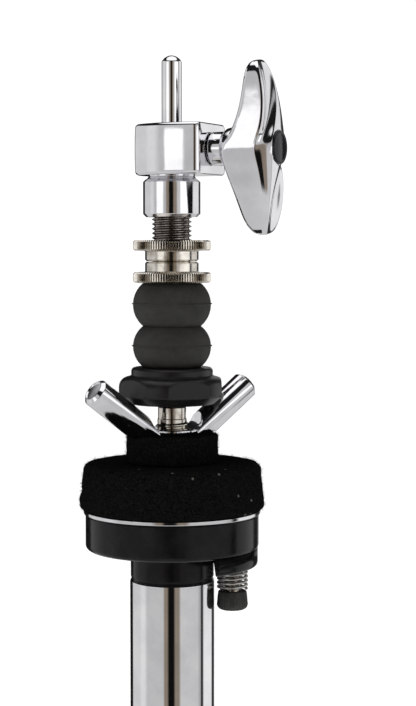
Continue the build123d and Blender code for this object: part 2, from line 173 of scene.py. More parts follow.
def soften(
    piece: bpy.types.Object, width: float, segments: int = 3, angle: float = 28.0
) -> bpy.types.Object:
    """Round a piece's sharp edges with a live bevel.

    Args:
        piece: The object to finish.
        width: The bevel's width in millimetres.
        segments: Steps across the bevel.
        angle: Edges sharper than this many degrees are rounded.

    Returns:
        The same object.
    """
    bevel = piece.modifiers.new("Edge rounding", "BEVEL")
    bevel.width = width * MM
    bevel.segments = segments
    bevel.limit_method = "ANGLE"
    bevel.angle_limit = math.radians(angle)
    bevel.harden_normals = True
    bevel.use_clamp_overlap = True
    return piece


def subdivide(piece: bpy.types.Object, levels: int) -> bpy.types.Object:
    """Finish a cage with a live subdivision surface of the given levels."""
    surface = piece.modifiers.new("Smooth surface", "SUBSURF")
    surface.levels = levels
    surface.render_levels = levels
    return piece


def turned(
    name: str,
    profile: Sequence[Point],
    closure: Closure = Closure.RING,
    steps: int = 96,
    edge: float = 0.25,
) -> bpy.types.Object:
    """Turn a profile about Z with a live Screw, and round its edges.

    Args:
        name: The piece's name.
        profile: Radius and height pairs in millimetres; the outer side runs from top to bottom.
        closure: Whether the profile ends on the axis or closes round a bore.
        steps: Faces round the axis.
        edge: The width of the rounded edges in millimetres, or 0 for none.

    Returns:
        The turned object.
    """
    count = len(profile)
    edges = [(i, i + 1) for i in range(count - 1)]
    if closure is Closure.RING:
        edges.append((count - 1, 0))
    piece = mesh_piece(name, [(r, 0.0, z) for r, z in profile], [], edges)
    screw = piece.modifiers.new("Turning", "SCREW")
    screw.axis = "Z"
    screw.angle = TURN
    screw.steps = steps
    screw.render_steps = steps
    screw.use_merge_vertices = True
    screw.merge_threshold = 0.001 * MM
    screw.use_smooth_shade = True
    if edge > 0:
        soften(piece, edge)
    return piece


def plug(name: str, radius: float, high: float, low: float, steps: int = 64) -> bpy.types.Object:
    """Make a plain round helper about Z, for cutting with.

    Args:
        name: The helper's name.
        radius: Its radius in millimetres.
        high: Its upper end.
        low: Its lower end.
        steps: Faces round the axis.

    Returns:
        The helper.
    """
    profile = [(0.0, high), (radius, high), (radius, low), (0.0, low)]
    return turned(name, profile, Closure.SOLID, steps, edge=0.0)


def helix_skin(
    name: str, crest: float, depth: float, pitch: float, low: float, turns: float, steps: int = 48
) -> bpy.types.Object:
    """Make a screw thread's flanks with a live Screw that climbs as it turns.

    Args:
        name: The piece's name.
        crest: The thread's outer radius in millimetres.
        depth: From crest to root.
        pitch: The climb in one turn.
        low: The height where the thread starts.
        turns: How many turns it has.
        steps: Faces in one turn.

    Returns:
        The thread's surface, which lies on a core of the root's radius.
    """
    root = crest - depth
    foot, tip = 0.10 * pitch, 0.43 * pitch
    tooth = [
        (root, low + pitch),
        (root, low + pitch - foot),
        (crest, low + pitch - tip),
        (crest, low + tip),
        (root, low + foot),
        (root, low),
    ]
    edges = [(i, i + 1) for i in range(len(tooth) - 1)]
    piece = mesh_piece(name, [(r, 0.0, z) for r, z in tooth], [], edges)
    screw = piece.modifiers.new("Thread", "SCREW")
    screw.axis = "Z"
    screw.angle = TURN * turns
    screw.screw_offset = pitch * turns * MM
    screw.steps = round(steps * turns)
    screw.render_steps = screw.steps
    screw.use_merge_vertices = True
    screw.merge_threshold = 0.001 * MM
    screw.use_smooth_shade = False
    return piece


def modulated(
    name: str,
    profile: Sequence[Point],
    azimuths: Sequence[float],
    rule: Callable[[float, float, float], float],
) -> bpy.types.Object:
    """Make a ring like a turned one, whose radius also depends on the azimuth.

    Args:
        name: The piece's name.
        profile: A closed profile of radius and height pairs in millimetres.
        azimuths: The angles, in radians, where the profile is repeated.
        rule: Gives the radius from azimuth, profile radius and height.

    Returns:
        The ring, with four-sided faces all over.
    """
    rows, columns = len(profile), len(azimuths)
    points = []
    for azimuth in azimuths:
        for radius, height in profile:
            r = rule(azimuth, radius, height)
            points.append((r * math.cos(azimuth), r * math.sin(azimuth), height))
    faces = []
    for column in range(columns):
        here, there = column * rows, (column + 1) % columns * rows
        for row in range(rows):
            above = (row + 1) % rows
            faces.append((here + row, here + above, there + above, there + row))
    return mesh_piece(name, points, faces)


def lofted(name: str, rings: Sequence[Sequence[Sequence[float]]]) -> bpy.types.Object:
    """Skin a stack of outlines that have the same number of points, and fill its two ends.

    Args:
        name: The piece's name.
        rings: The outlines, each a list of points in millimetres.

    Returns:
        The skinned object, with its faces turned outwards.
    """
    count = len(rings[0])
    points = [p for ring in rings for p in ring]
    faces: list[Sequence[int]] = []
    for level in range(len(rings) - 1):
        base = level * count
        for i in range(count):
            j = (i + 1) % count
            faces.append((base + i, base + j, base + count + j, base + count + i))
    faces.append(list(range(count))[::-1])
    faces.append([(len(rings) - 1) * count + i for i in range(count)])
    piece = mesh_piece(name, points, faces)
    face_outwards(piece.data)
    return piece


def face_outwards(mesh: bpy.types.Mesh, merge: float = 0.002) -> None:
    """Merge doubled points and turn a closed mesh's faces outwards.

    Args:
        mesh: The mesh to mend.
        merge: Points nearer than this many millimetres become one.
    """
    work = bmesh.new()
    work.from_mesh(mesh)
    bmesh.ops.remove_doubles(work, verts=work.verts, dist=merge * MM)
    bmesh.ops.recalc_face_normals(work, faces=work.faces)
    work.to_mesh(mesh)
    work.free()


def apply_stack(piece: bpy.types.Object) -> bpy.types.Object:
    """Replace a piece's mesh by what its modifiers make of it, and drop them."""
    graph = bpy.context.evaluated_depsgraph_get()
    graph.update()
    finished = bpy.data.meshes.new_from_object(piece.evaluated_get(graph))
    piece.modifiers.clear()
    piece.data = finished
    return piece


def place(piece: bpy.types.Object, matrix: Matrix) -> bpy.types.Object:
    """Apply a piece's stack, then move its mesh by a matrix in metres."""
    apply_stack(piece)
    piece.data.transform(matrix)
    return piece


def fill_open_ends(piece: bpy.types.Object) -> None:
    """Close the open ends of a mesh, such as a wire's."""
    work = bmesh.new()
    work.from_mesh(piece.data)
    bmesh.ops.holes_fill(work, edges=[e for e in work.edges if e.is_boundary], sides=0)
    bmesh.ops.recalc_face_normals(work, faces=work.faces)
    work.to_mesh(piece.data)
    work.free()


def cut(piece: bpy.types.Object, tool: bpy.types.Object, operation: Combine) -> None:
    """Combine a piece with a helper, apply the result and remove the helper.

    Args:
        piece: The piece to change.
        tool: The helper mesh.
        operation: Whether the helper is added or taken away.
    """
    apply_stack(tool)
    step = piece.modifiers.new("Combine", "BOOLEAN")
    step.operation = operation.value
    step.solver = "EXACT"
    step.object = tool
    apply_stack(piece)
    bpy.data.objects.remove(tool)


def smooth(piece: bpy.types.Object) -> None:
    """Shade every face of a piece smooth."""
    for polygon in piece.data.polygons:
        polygon.use_smooth = True


def even_normals(piece: bpy.types.Object) -> None:
    """Keep the broad faces of a piece flat in their shading."""
    weighted = piece.modifiers.new("Even shading", "WEIGHTED_NORMAL")
    weighted.keep_sharp = True
    weighted.weight = 80


def join(name: str, pieces: Sequence[bpy.types.Object]) -> bpy.types.Object:
    """Make one object from several, with every stack applied.

    Args:
        name: The new piece's name.
        pieces: The objects to join; they are removed.

    Returns:
        The joined object.
    """
    work = bmesh.new()
    for piece in pieces:
        apply_stack(piece)
        work.from_mesh(piece.data)
    mesh = bpy.data.meshes.new(name)
    work.to_mesh(mesh)
    work.free()
    for piece in pieces:
        bpy.data.objects.remove(piece)
    return link_mesh(name, mesh)


def dress(
    piece: bpy.types.Object,
    finish: "Finish",
    body: Body,
    replaces: Sequence[str] = (),
) -> bpy.types.Object:
    """Give a piece its material and its body, hide the CAD nodes it stands for, and report it.

    Args:
        piece: The finished object.
        finish: Its finish.
        body: The CAD body that it moves with.
        replaces: CAD nodes that it stands for.

    Returns:
        The same object.
    """
    piece.data.materials.clear()
    piece.data.materials.append(finish.material())
    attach(piece, body.value)
    if replaces:
        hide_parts(*replaces)
    LOG.info("%s rides on %s", piece.name, body.value)
    return piece


def dress_node(node: str, finish: "Finish") -> None:
    """Give a carried-over CAD node a better material, and report it."""
    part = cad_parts[node]
    part.data.materials.clear()
    part.data.materials.append(finish.material())
    LOG.info("%s keeps its CAD shape", node)


# --- Finishes -------------------------------------------------------------------------------


def lay_out(nodes: Sequence[bpy.types.Node], left: float, top: float) -> None:
    """Set a chain of nodes side by side, from left to right."""
    for index, node in enumerate(nodes):
        node.location = (left + 190.0 * index, top)


def group_frame(tree: bpy.types.NodeTree, label: str, members: Sequence[bpy.types.Node]) -> None:
    """Put a labelled frame round the nodes of one effect."""
    box = tree.nodes.new("NodeFrame")
    box.label = label
    for node in members:
        node.parent = box


@dataclass(frozen=True)
class Finish:
    """What every finish has: a name and a way to make its material once."""

    name: str

    def material(self) -> bpy.types.Material:
        """Return this finish's material, made on first use."""
        found = bpy.data.materials.get(self.name)
        if found is not None:
            return found
        made = bpy.data.materials.new(self.name)
        made.use_nodes = True
        made.node_tree.nodes.clear()
        self.write(made.node_tree)
        return made

    def write(self, tree: bpy.types.NodeTree) -> None:
        """Write the finish's nodes into an empty tree."""
        raise NotImplementedError


@dataclass(frozen=True)
class PlatedFinish(Finish):
    """Bright chrome: polished plating with haze, fine scratches and the ripple of its base."""

    tint: Colour = (0.82, 0.82, 0.83)
    haze_tint: Colour = (0.70, 0.70, 0.72)
    polish: float = 0.035
    haze: float = 0.10
    ripple_scale: float = 140.0
    ripple: float = 0.02
    scratch: float = 0.02

    def write(self, tree: bpy.types.NodeTree) -> None:
        """Write the chrome's nodes."""
        place_on = tree.nodes.new("ShaderNodeTexCoord")
        place_on.label = "Position on the part"
        place_on.location = (-1300, 0)

        smudge = tree.nodes.new("ShaderNodeTexNoise")
        smudge.label = "Handling haze"
        smudge.inputs["Scale"].default_value = 60.0
        smudge.inputs["Detail"].default_value = 5.0
        smudge.inputs["Roughness"].default_value = 0.62
        smudge_tint = tree.nodes.new("ShaderNodeValToRGB")
        smudge_tint.label = "Plating colour under haze"
        smudge_tint.color_ramp.elements[0].position = 0.38
        smudge_tint.color_ramp.elements[0].color = (*self.haze_tint, 1.0)
        smudge_tint.color_ramp.elements[1].position = 0.62
        smudge_tint.color_ramp.elements[1].color = (*self.tint, 1.0)
        smudge_gloss = tree.nodes.new("ShaderNodeMapRange")
        smudge_gloss.label = "Polish worn by handling"
        smudge_gloss.inputs["From Min"].default_value = 0.35
        smudge_gloss.inputs["From Max"].default_value = 0.7
        smudge_gloss.inputs["To Min"].default_value = self.haze
        smudge_gloss.inputs["To Max"].default_value = self.polish
        lay_out([smudge, smudge_tint, smudge_gloss], -1050, 250)
        group_frame(tree, "Haze", [smudge, smudge_tint, smudge_gloss])

        stretch = tree.nodes.new("ShaderNodeMapping")
        stretch.label = "Stretch scratches round the part"
        stretch.inputs["Scale"].default_value = (1.0, 1.0, 9.0)
        hairline = tree.nodes.new("ShaderNodeTexNoise")
        hairline.label = "Hairline polishing marks"
        hairline.inputs["Scale"].default_value = 1400.0
        hairline.inputs["Detail"].default_value = 3.0
        hairline_bump = tree.nodes.new("ShaderNodeBump")
        hairline_bump.label = "Scratch relief"
        hairline_bump.inputs["Strength"].default_value = self.scratch
        hairline_bump.inputs["Distance"].default_value = 0.00005
        lay_out([stretch, hairline, hairline_bump], -1050, -80)
        group_frame(tree, "Fine scratches", [stretch, hairline, hairline_bump])

        swell = tree.nodes.new("ShaderNodeTexNoise")
        swell.label = "Ripple of the base metal"
        swell.inputs["Scale"].default_value = self.ripple_scale
        swell.inputs["Detail"].default_value = 1.5
        swell_bump = tree.nodes.new("ShaderNodeBump")
        swell_bump.label = "Ripple relief"
        swell_bump.inputs["Strength"].default_value = self.ripple
        swell_bump.inputs["Distance"].default_value = 0.0008
        lay_out([swell, swell_bump], -860, -400)
        group_frame(tree, "Ripple", [swell, swell_bump])

        metal = tree.nodes.new("ShaderNodeBsdfPrincipled")
        metal.label = "Chrome plating"
        metal.location = (-150, 100)
        metal.inputs["Metallic"].default_value = 1.0
        metal.inputs["IOR"].default_value = 2.6
        result = tree.nodes.new("ShaderNodeOutputMaterial")
        result.label = "Chromed surface"
        result.location = (200, 100)

        tree.links.new(place_on.outputs["Object"], smudge.inputs["Vector"])
        tree.links.new(smudge.outputs["Fac"], smudge_tint.inputs["Fac"])
        tree.links.new(smudge.outputs["Fac"], smudge_gloss.inputs["Value"])
        tree.links.new(place_on.outputs["Object"], stretch.inputs["Vector"])
        tree.links.new(stretch.outputs["Vector"], hairline.inputs["Vector"])
        tree.links.new(hairline.outputs["Fac"], hairline_bump.inputs["Height"])
        tree.links.new(place_on.outputs["Object"], swell.inputs["Vector"])
        tree.links.new(swell.outputs["Fac"], swell_bump.inputs["Height"])
        tree.links.new(swell_bump.outputs["Normal"], hairline_bump.inputs["Normal"])
        tree.links.new(smudge_tint.outputs["Color"], metal.inputs["Base Color"])
        tree.links.new(smudge_gloss.outputs["Result"], metal.inputs["Roughness"])
        tree.links.new(hairline_bump.outputs["Normal"], metal.inputs["Normal"])
        tree.links.new(metal.outputs["BSDF"], result.inputs["Surface"])


@dataclass(frozen=True)
class TurnedFinish(Finish):
    """Turned metal: tool rings along Z, darkened patches and a warm or cool plating."""

    bright: Colour = (0.66, 0.62, 0.54)
    stained: Colour = (0.33, 0.28, 0.22)
    smooth: float = 0.20
    dull: float = 0.42
    ring_scale: float = 900.0
    ring: float = 0.10

    def write(self, tree: bpy.types.NodeTree) -> None:
        """Write the turned metal's nodes."""
        place_on = tree.nodes.new("ShaderNodeTexCoord")
        place_on.label = "Position on the part"
        place_on.location = (-1300, 0)

        patch = tree.nodes.new("ShaderNodeTexNoise")
        patch.label = "Tarnish patches"
        patch.inputs["Scale"].default_value = 260.0
        patch.inputs["Detail"].default_value = 6.0
        patch.inputs["Roughness"].default_value = 0.65
        patch_tint = tree.nodes.new("ShaderNodeValToRGB")
        patch_tint.label = "Plating colour"
        patch_tint.color_ramp.elements[0].position = 0.34
        patch_tint.color_ramp.elements[0].color = (*self.stained, 1.0)
        patch_tint.color_ramp.elements[1].position = 0.56
        patch_tint.color_ramp.elements[1].color = (*self.bright, 1.0)
        patch_gloss = tree.nodes.new("ShaderNodeMapRange")
        patch_gloss.label = "Dull where tarnished"
        patch_gloss.inputs["From Min"].default_value = 0.3
        patch_gloss.inputs["From Max"].default_value = 0.65
        patch_gloss.inputs["To Min"].default_value = self.dull
        patch_gloss.inputs["To Max"].default_value = self.smooth
        lay_out([patch, patch_tint, patch_gloss], -1050, 250)
        group_frame(tree, "Tarnish", [patch, patch_tint, patch_gloss])

        tool_marks = tree.nodes.new("ShaderNodeTexWave")
        tool_marks.label = "Lathe tool rings"
        tool_marks.wave_type = "BANDS"
        tool_marks.bands_direction = "Z"
        tool_marks.inputs["Scale"].default_value = self.ring_scale
        tool_marks.inputs["Distortion"].default_value = 2.5
        tool_marks.inputs["Detail"].default_value = 3.0
        marks_bump = tree.nodes.new("ShaderNodeBump")
        marks_bump.label = "Tool ring relief"
        marks_bump.inputs["Strength"].default_value = self.ring
        marks_bump.inputs["Distance"].default_value = 0.00005
        lay_out([tool_marks, marks_bump], -860, -100)
        group_frame(tree, "Tool rings", [tool_marks, marks_bump])

        metal = tree.nodes.new("ShaderNodeBsdfPrincipled")
        metal.label = "Turned surface"
        metal.location = (-150, 100)
        metal.inputs["Metallic"].default_value = 1.0
        result = tree.nodes.new("ShaderNodeOutputMaterial")
        result.label = "Turned part"
        result.location = (200, 100)

        tree.links.new(place_on.outputs["Object"], patch.inputs["Vector"])
        tree.links.new(patch.outputs["Fac"], patch_tint.inputs["Fac"])
        tree.links.new(patch.outputs["Fac"], patch_gloss.inputs["Value"])
        tree.links.new(place_on.outputs["Object"], tool_marks.inputs["Vector"])
        tree.links.new(tool_marks.outputs["Fac"], marks_bump.inputs["Height"])
        tree.links.new(patch_tint.outputs["Color"], metal.inputs["Base Color"])
        tree.links.new(patch_gloss.outputs["Result"], metal.inputs["Roughness"])
        tree.links.new(marks_bump.outputs["Normal"], metal.inputs["Normal"])
        tree.links.new(metal.outputs["BSDF"], result.inputs["Surface"])


@dataclass(frozen=True)
class MouldedFinish(Finish):
    """Moulded plastic: a fine cast grain, dusty variation and uneven gloss."""

    base: Colour = (0.012, 0.012, 0.013)
    dusty: Colour = (0.03, 0.03, 0.031)
    gloss: float = 0.18
    matt: float = 0.34
    grain_scale: float = 1500.0
    grain: float = 0.08
    shine: float = 0.22

    def write(self, tree: bpy.types.NodeTree) -> None:
        """Write the plastic's nodes."""
        place_on = tree.nodes.new("ShaderNodeTexCoord")
        place_on.label = "Position on the moulding"
        place_on.location = (-1300, 0)

        dust = tree.nodes.new("ShaderNodeTexNoise")
        dust.label = "Dust and fading"
        dust.inputs["Scale"].default_value = 190.0
        dust.inputs["Detail"].default_value = 7.0
        dust.inputs["Roughness"].default_value = 0.7
        dust_tint = tree.nodes.new("ShaderNodeValToRGB")
        dust_tint.label = "Plastic colour"
        dust_tint.color_ramp.elements[0].position = 0.45
        dust_tint.color_ramp.elements[0].color = (*self.base, 1.0)
        dust_tint.color_ramp.elements[1].position = 0.78
        dust_tint.color_ramp.elements[1].color = (*self.dusty, 1.0)
        dust_gloss = tree.nodes.new("ShaderNodeMapRange")
        dust_gloss.label = "Uneven gloss"
        dust_gloss.inputs["From Min"].default_value = 0.3
        dust_gloss.inputs["From Max"].default_value = 0.7
        dust_gloss.inputs["To Min"].default_value = self.gloss
        dust_gloss.inputs["To Max"].default_value = self.matt
        lay_out([dust, dust_tint, dust_gloss], -1050, 250)
        group_frame(tree, "Dust", [dust, dust_tint, dust_gloss])

        grain = tree.nodes.new("ShaderNodeTexVoronoi")
        grain.label = "Mould grain"
        grain.feature = "SMOOTH_F1"
        grain.inputs["Scale"].default_value = self.grain_scale
        grain_bump = tree.nodes.new("ShaderNodeBump")
        grain_bump.label = "Grain relief"
        grain_bump.inputs["Strength"].default_value = self.grain
        grain_bump.inputs["Distance"].default_value = 0.0001
        lay_out([grain, grain_bump], -860, -100)
        group_frame(tree, "Grain", [grain, grain_bump])

        plastic = tree.nodes.new("ShaderNodeBsdfPrincipled")
        plastic.label = "Moulded plastic"
        plastic.location = (-150, 100)
        plastic.inputs["IOR"].default_value = 1.5
        plastic.inputs["Specular IOR Level"].default_value = self.shine
        result = tree.nodes.new("ShaderNodeOutputMaterial")
        result.label = "Moulded part"
        result.location = (200, 100)

        tree.links.new(place_on.outputs["Object"], dust.inputs["Vector"])
        tree.links.new(dust.outputs["Fac"], dust_tint.inputs["Fac"])
        tree.links.new(dust.outputs["Fac"], dust_gloss.inputs["Value"])
        tree.links.new(place_on.outputs["Object"], grain.inputs["Vector"])
        tree.links.new(grain.outputs["Distance"], grain_bump.inputs["Height"])
        tree.links.new(dust_tint.outputs["Color"], plastic.inputs["Base Color"])
        tree.links.new(dust_gloss.outputs["Result"], plastic.inputs["Roughness"])
        tree.links.new(grain_bump.outputs["Normal"], plastic.inputs["Normal"])
        tree.links.new(plastic.outputs["BSDF"], result.inputs["Surface"])


@dataclass(frozen=True)
class RubberFinish(Finish):
    """Matt moulded rubber, with a bloom of dust and a fine pitted skin."""

    base: Colour = (0.019, 0.0188, 0.0172)
    bloom: Colour = (0.036, 0.0352, 0.0318)

    def write(self, tree: bpy.types.NodeTree) -> None:
        """Write the rubber's nodes."""
        place_on = tree.nodes.new("ShaderNodeTexCoord")
        place_on.label = "Position on the cushion"
        place_on.location = (-1300, 0)

        bloom = tree.nodes.new("ShaderNodeTexNoise")
        bloom.label = "Bloom on the skin"
        bloom.inputs["Scale"].default_value = 150.0
        bloom.inputs["Detail"].default_value = 8.0
        bloom.inputs["Roughness"].default_value = 0.72
        bloom_tint = tree.nodes.new("ShaderNodeValToRGB")
        bloom_tint.label = "Rubber colour"
        bloom_tint.color_ramp.elements[0].position = 0.36
        bloom_tint.color_ramp.elements[0].color = (*self.base, 1.0)
        bloom_tint.color_ramp.elements[1].position = 0.72
        bloom_tint.color_ramp.elements[1].color = (*self.bloom, 1.0)
        bloom_gloss = tree.nodes.new("ShaderNodeMapRange")
        bloom_gloss.label = "Matt where bloomed"
        bloom_gloss.inputs["To Min"].default_value = 0.52
        bloom_gloss.inputs["To Max"].default_value = 0.8
        lay_out([bloom, bloom_tint, bloom_gloss], -1050, 250)
        group_frame(tree, "Bloom", [bloom, bloom_tint, bloom_gloss])

        pits = tree.nodes.new("ShaderNodeTexVoronoi")
        pits.label = "Pitted skin"
        pits.inputs["Scale"].default_value = 2600.0
        pits_bump = tree.nodes.new("ShaderNodeBump")
        pits_bump.label = "Pit relief"
        pits_bump.inputs["Strength"].default_value = 0.12
        pits_bump.inputs["Distance"].default_value = 0.0001
        lay_out([pits, pits_bump], -860, -100)
        group_frame(tree, "Pits", [pits, pits_bump])

        rubber = tree.nodes.new("ShaderNodeBsdfPrincipled")
        rubber.label = "Rubber"
        rubber.location = (-150, 100)
        rubber.inputs["IOR"].default_value = 1.45
        rubber.inputs["Specular IOR Level"].default_value = 0.25
        result = tree.nodes.new("ShaderNodeOutputMaterial")
        result.label = "Rubber cushion"
        result.location = (200, 100)

        tree.links.new(place_on.outputs["Object"], bloom.inputs["Vector"])
        tree.links.new(bloom.outputs["Fac"], bloom_tint.inputs["Fac"])
        tree.links.new(bloom.outputs["Fac"], bloom_gloss.inputs["Value"])
        tree.links.new(place_on.outputs["Object"], pits.inputs["Vector"])
        tree.links.new(pits.outputs["Distance"], pits_bump.inputs["Height"])
        tree.links.new(bloom_tint.outputs["Color"], rubber.inputs["Base Color"])
        tree.links.new(bloom_gloss.outputs["Result"], rubber.inputs["Roughness"])
        tree.links.new(pits_bump.outputs["Normal"], rubber.inputs["Normal"])
        tree.links.new(rubber.outputs["BSDF"], result.inputs["Surface"])


@dataclass(frozen=True)
class FeltFinish(Finish):
    """Black wool felt: matted fibres, soft hollows and a few specks of pale lint."""

    wool: Colour = (0.0014, 0.0014, 0.0014)
    raised: Colour = (0.0150, 0.0147, 0.0140)
    lint: Colour = (0.09, 0.085, 0.075)
    lint_share: float = 0.018

    def write(self, tree: bpy.types.NodeTree) -> None:
        """Write the felt's nodes."""
        place_on = tree.nodes.new("ShaderNodeTexCoord")
        place_on.label = "Position on the felt"
        place_on.location = (-1500, 0)

        fibres = tree.nodes.new("ShaderNodeTexNoise")
        fibres.label = "Matted fibres"
        fibres.inputs["Scale"].default_value = 900.0
        fibres.inputs["Detail"].default_value = 6.0
        fibres.inputs["Roughness"].default_value = 0.75
        fibres.inputs["Distortion"].default_value = 3.0
        fibre_tint = tree.nodes.new("ShaderNodeValToRGB")
        fibre_tint.label = "Wool colour"
        fibre_tint.color_ramp.elements[0].position = 0.42
        fibre_tint.color_ramp.elements[0].color = (*self.wool, 1.0)
        fibre_tint.color_ramp.elements[1].position = 0.72
        fibre_tint.color_ramp.elements[1].color = (*self.raised, 1.0)
        fibre_bump = tree.nodes.new("ShaderNodeBump")
        fibre_bump.label = "Fibre relief"
        fibre_bump.inputs["Strength"].default_value = 0.7
        fibre_bump.inputs["Distance"].default_value = 0.0004
        lay_out([fibres, fibre_tint, fibre_bump], -1250, 250)
        group_frame(tree, "Fibres", [fibres, fibre_tint, fibre_bump])

        specks = tree.nodes.new("ShaderNodeTexVoronoi")
        specks.label = "Where lint has settled"
        specks.inputs["Scale"].default_value = 520.0
        specks.inputs["Randomness"].default_value = 1.0
        speck_size = tree.nodes.new("ShaderNodeMath")
        speck_size.label = "Size of a speck"
        speck_size.operation = "LESS_THAN"
        speck_size.inputs[1].default_value = 0.22
        speck_pick = tree.nodes.new("ShaderNodeSeparateColor")
        speck_pick.label = "One number for each speck"
        speck_rare = tree.nodes.new("ShaderNodeMath")
        speck_rare.label = "Few specks show"
        speck_rare.operation = "LESS_THAN"
        speck_rare.inputs[1].default_value = self.lint_share
        speck_mask = tree.nodes.new("ShaderNodeMath")
        speck_mask.label = "Lint mask"
        speck_mask.operation = "MULTIPLY"
        lay_out([specks, speck_size, speck_pick, speck_rare, speck_mask], -1250, -120)
        group_frame(tree, "Lint", [specks, speck_size, speck_pick, speck_rare, speck_mask])

        tint = tree.nodes.new("ShaderNodeMix")
        tint.label = "Lint over wool"
        tint.data_type = "RGBA"
        tint.location = (-400, 200)
        tint.inputs["B"].default_value = (*self.lint, 1.0)

        wool = tree.nodes.new("ShaderNodeBsdfPrincipled")
        wool.label = "Wool felt"
        wool.location = (-150, 100)
        wool.inputs["Roughness"].default_value = 0.95
        wool.inputs["Specular IOR Level"].default_value = 0.0
        result = tree.nodes.new("ShaderNodeOutputMaterial")
        result.label = "Felt washer"
        result.location = (200, 100)

        tree.links.new(place_on.outputs["Object"], fibres.inputs["Vector"])
        tree.links.new(fibres.outputs["Fac"], fibre_tint.inputs["Fac"])
        tree.links.new(fibres.outputs["Fac"], fibre_bump.inputs["Height"])
        tree.links.new(place_on.outputs["Object"], specks.inputs["Vector"])
        tree.links.new(specks.outputs["Distance"], speck_size.inputs[0])
        tree.links.new(specks.outputs["Color"], speck_pick.inputs["Color"])
        tree.links.new(speck_pick.outputs["Red"], speck_rare.inputs[0])
        tree.links.new(speck_size.outputs["Value"], speck_mask.inputs[0])
        tree.links.new(speck_rare.outputs["Value"], speck_mask.inputs[1])
        tree.links.new(speck_mask.outputs["Value"], tint.inputs["Factor"])
        tree.links.new(fibre_tint.outputs["Color"], tint.inputs["A"])
        tree.links.new(tint.outputs["Result"], wool.inputs["Base Color"])
        tree.links.new(fibre_bump.outputs["Normal"], wool.inputs["Normal"])
        tree.links.new(wool.outputs["BSDF"], result.inputs["Surface"])


TUBE_CHROME = PlatedFinish("tube_chrome", ripple_scale=40.0, ripple=0.01)
ROD_CHROME = PlatedFinish("rod_chrome", ripple_scale=90.0, ripple=0.01, polish=0.05)
PLATE_CHROME = PlatedFinish("plate_chrome", tint=(0.78, 0.78, 0.79), polish=0.08)
CAST_CHROME = PlatedFinish("cast_chrome", tint=(0.82, 0.81, 0.84), ripple_scale=170.0, ripple=0.05)
NICKEL = TurnedFinish(
    "warm_nickel", bright=(0.68, 0.645, 0.59), stained=(0.40, 0.36, 0.31),
    smooth=0.10, dull=0.20, ring=0.06)
# A darker nickel colour than the nuts', for the clutch sleeve's core and thread.
DARK_NICKEL = TurnedFinish(
    "dark_nickel_thread", bright=(0.30, 0.27, 0.25), stained=(0.10, 0.08, 0.075),
    smooth=0.18, dull=0.34)
SPRING_STEEL = TurnedFinish(
    "drawn_spring_wire", bright=(0.5, 0.49, 0.47), stained=(0.2, 0.19, 0.18),
    smooth=0.25, dull=0.5)
BRASS = TurnedFinish("machined_brass", bright=(0.78, 0.6, 0.28), stained=(0.45, 0.3, 0.13))
GLOSS_BLACK = MouldedFinish(
    "gloss_black_moulding", base=(0.005, 0.005, 0.0055), dusty=(0.011, 0.011, 0.011),
    gloss=0.10, matt=0.22, grain=0.03, shine=0.16)
SATIN_BLACK = MouldedFinish(
    "satin_black_nylon", base=(0.006, 0.006, 0.006), dusty=(0.013, 0.012, 0.011),
    gloss=0.26, matt=0.4, shine=0.3)
KNOB_BLACK = MouldedFinish(
    "grained_knob", base=(0.018, 0.018, 0.0175), dusty=(0.055, 0.055, 0.050),
    gloss=0.45, matt=0.7, grain=0.6)
CAP_BLACK = MouldedFinish(
    "gloss_cap_disc", base=(0.004, 0.005, 0.007), dusty=(0.012, 0.013, 0.017),
    gloss=0.08, matt=0.25, grain=0.35)
WHITE_NYLON = MouldedFinish(
    "natural_nylon", base=(0.62, 0.6, 0.54), dusty=(0.7, 0.68, 0.62), gloss=0.35, matt=0.5)
RUBBER = RubberFinish("cushion_rubber")
FELT = FeltFinish("felt_wool")


# --- Sub-assemblies -------------------------------------------------------------------------


def heights(node: str) -> tuple[float, float]:
    """Lowest and highest point of a CAD node, in millimetres."""
    low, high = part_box(node)
    return low.z / MM, high.z / MM


def half_width(node: str) -> float:
    """Half of a CAD node's width along Y, in millimetres."""
    low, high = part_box(node)
    return (high.y - low.y) / 2 / MM


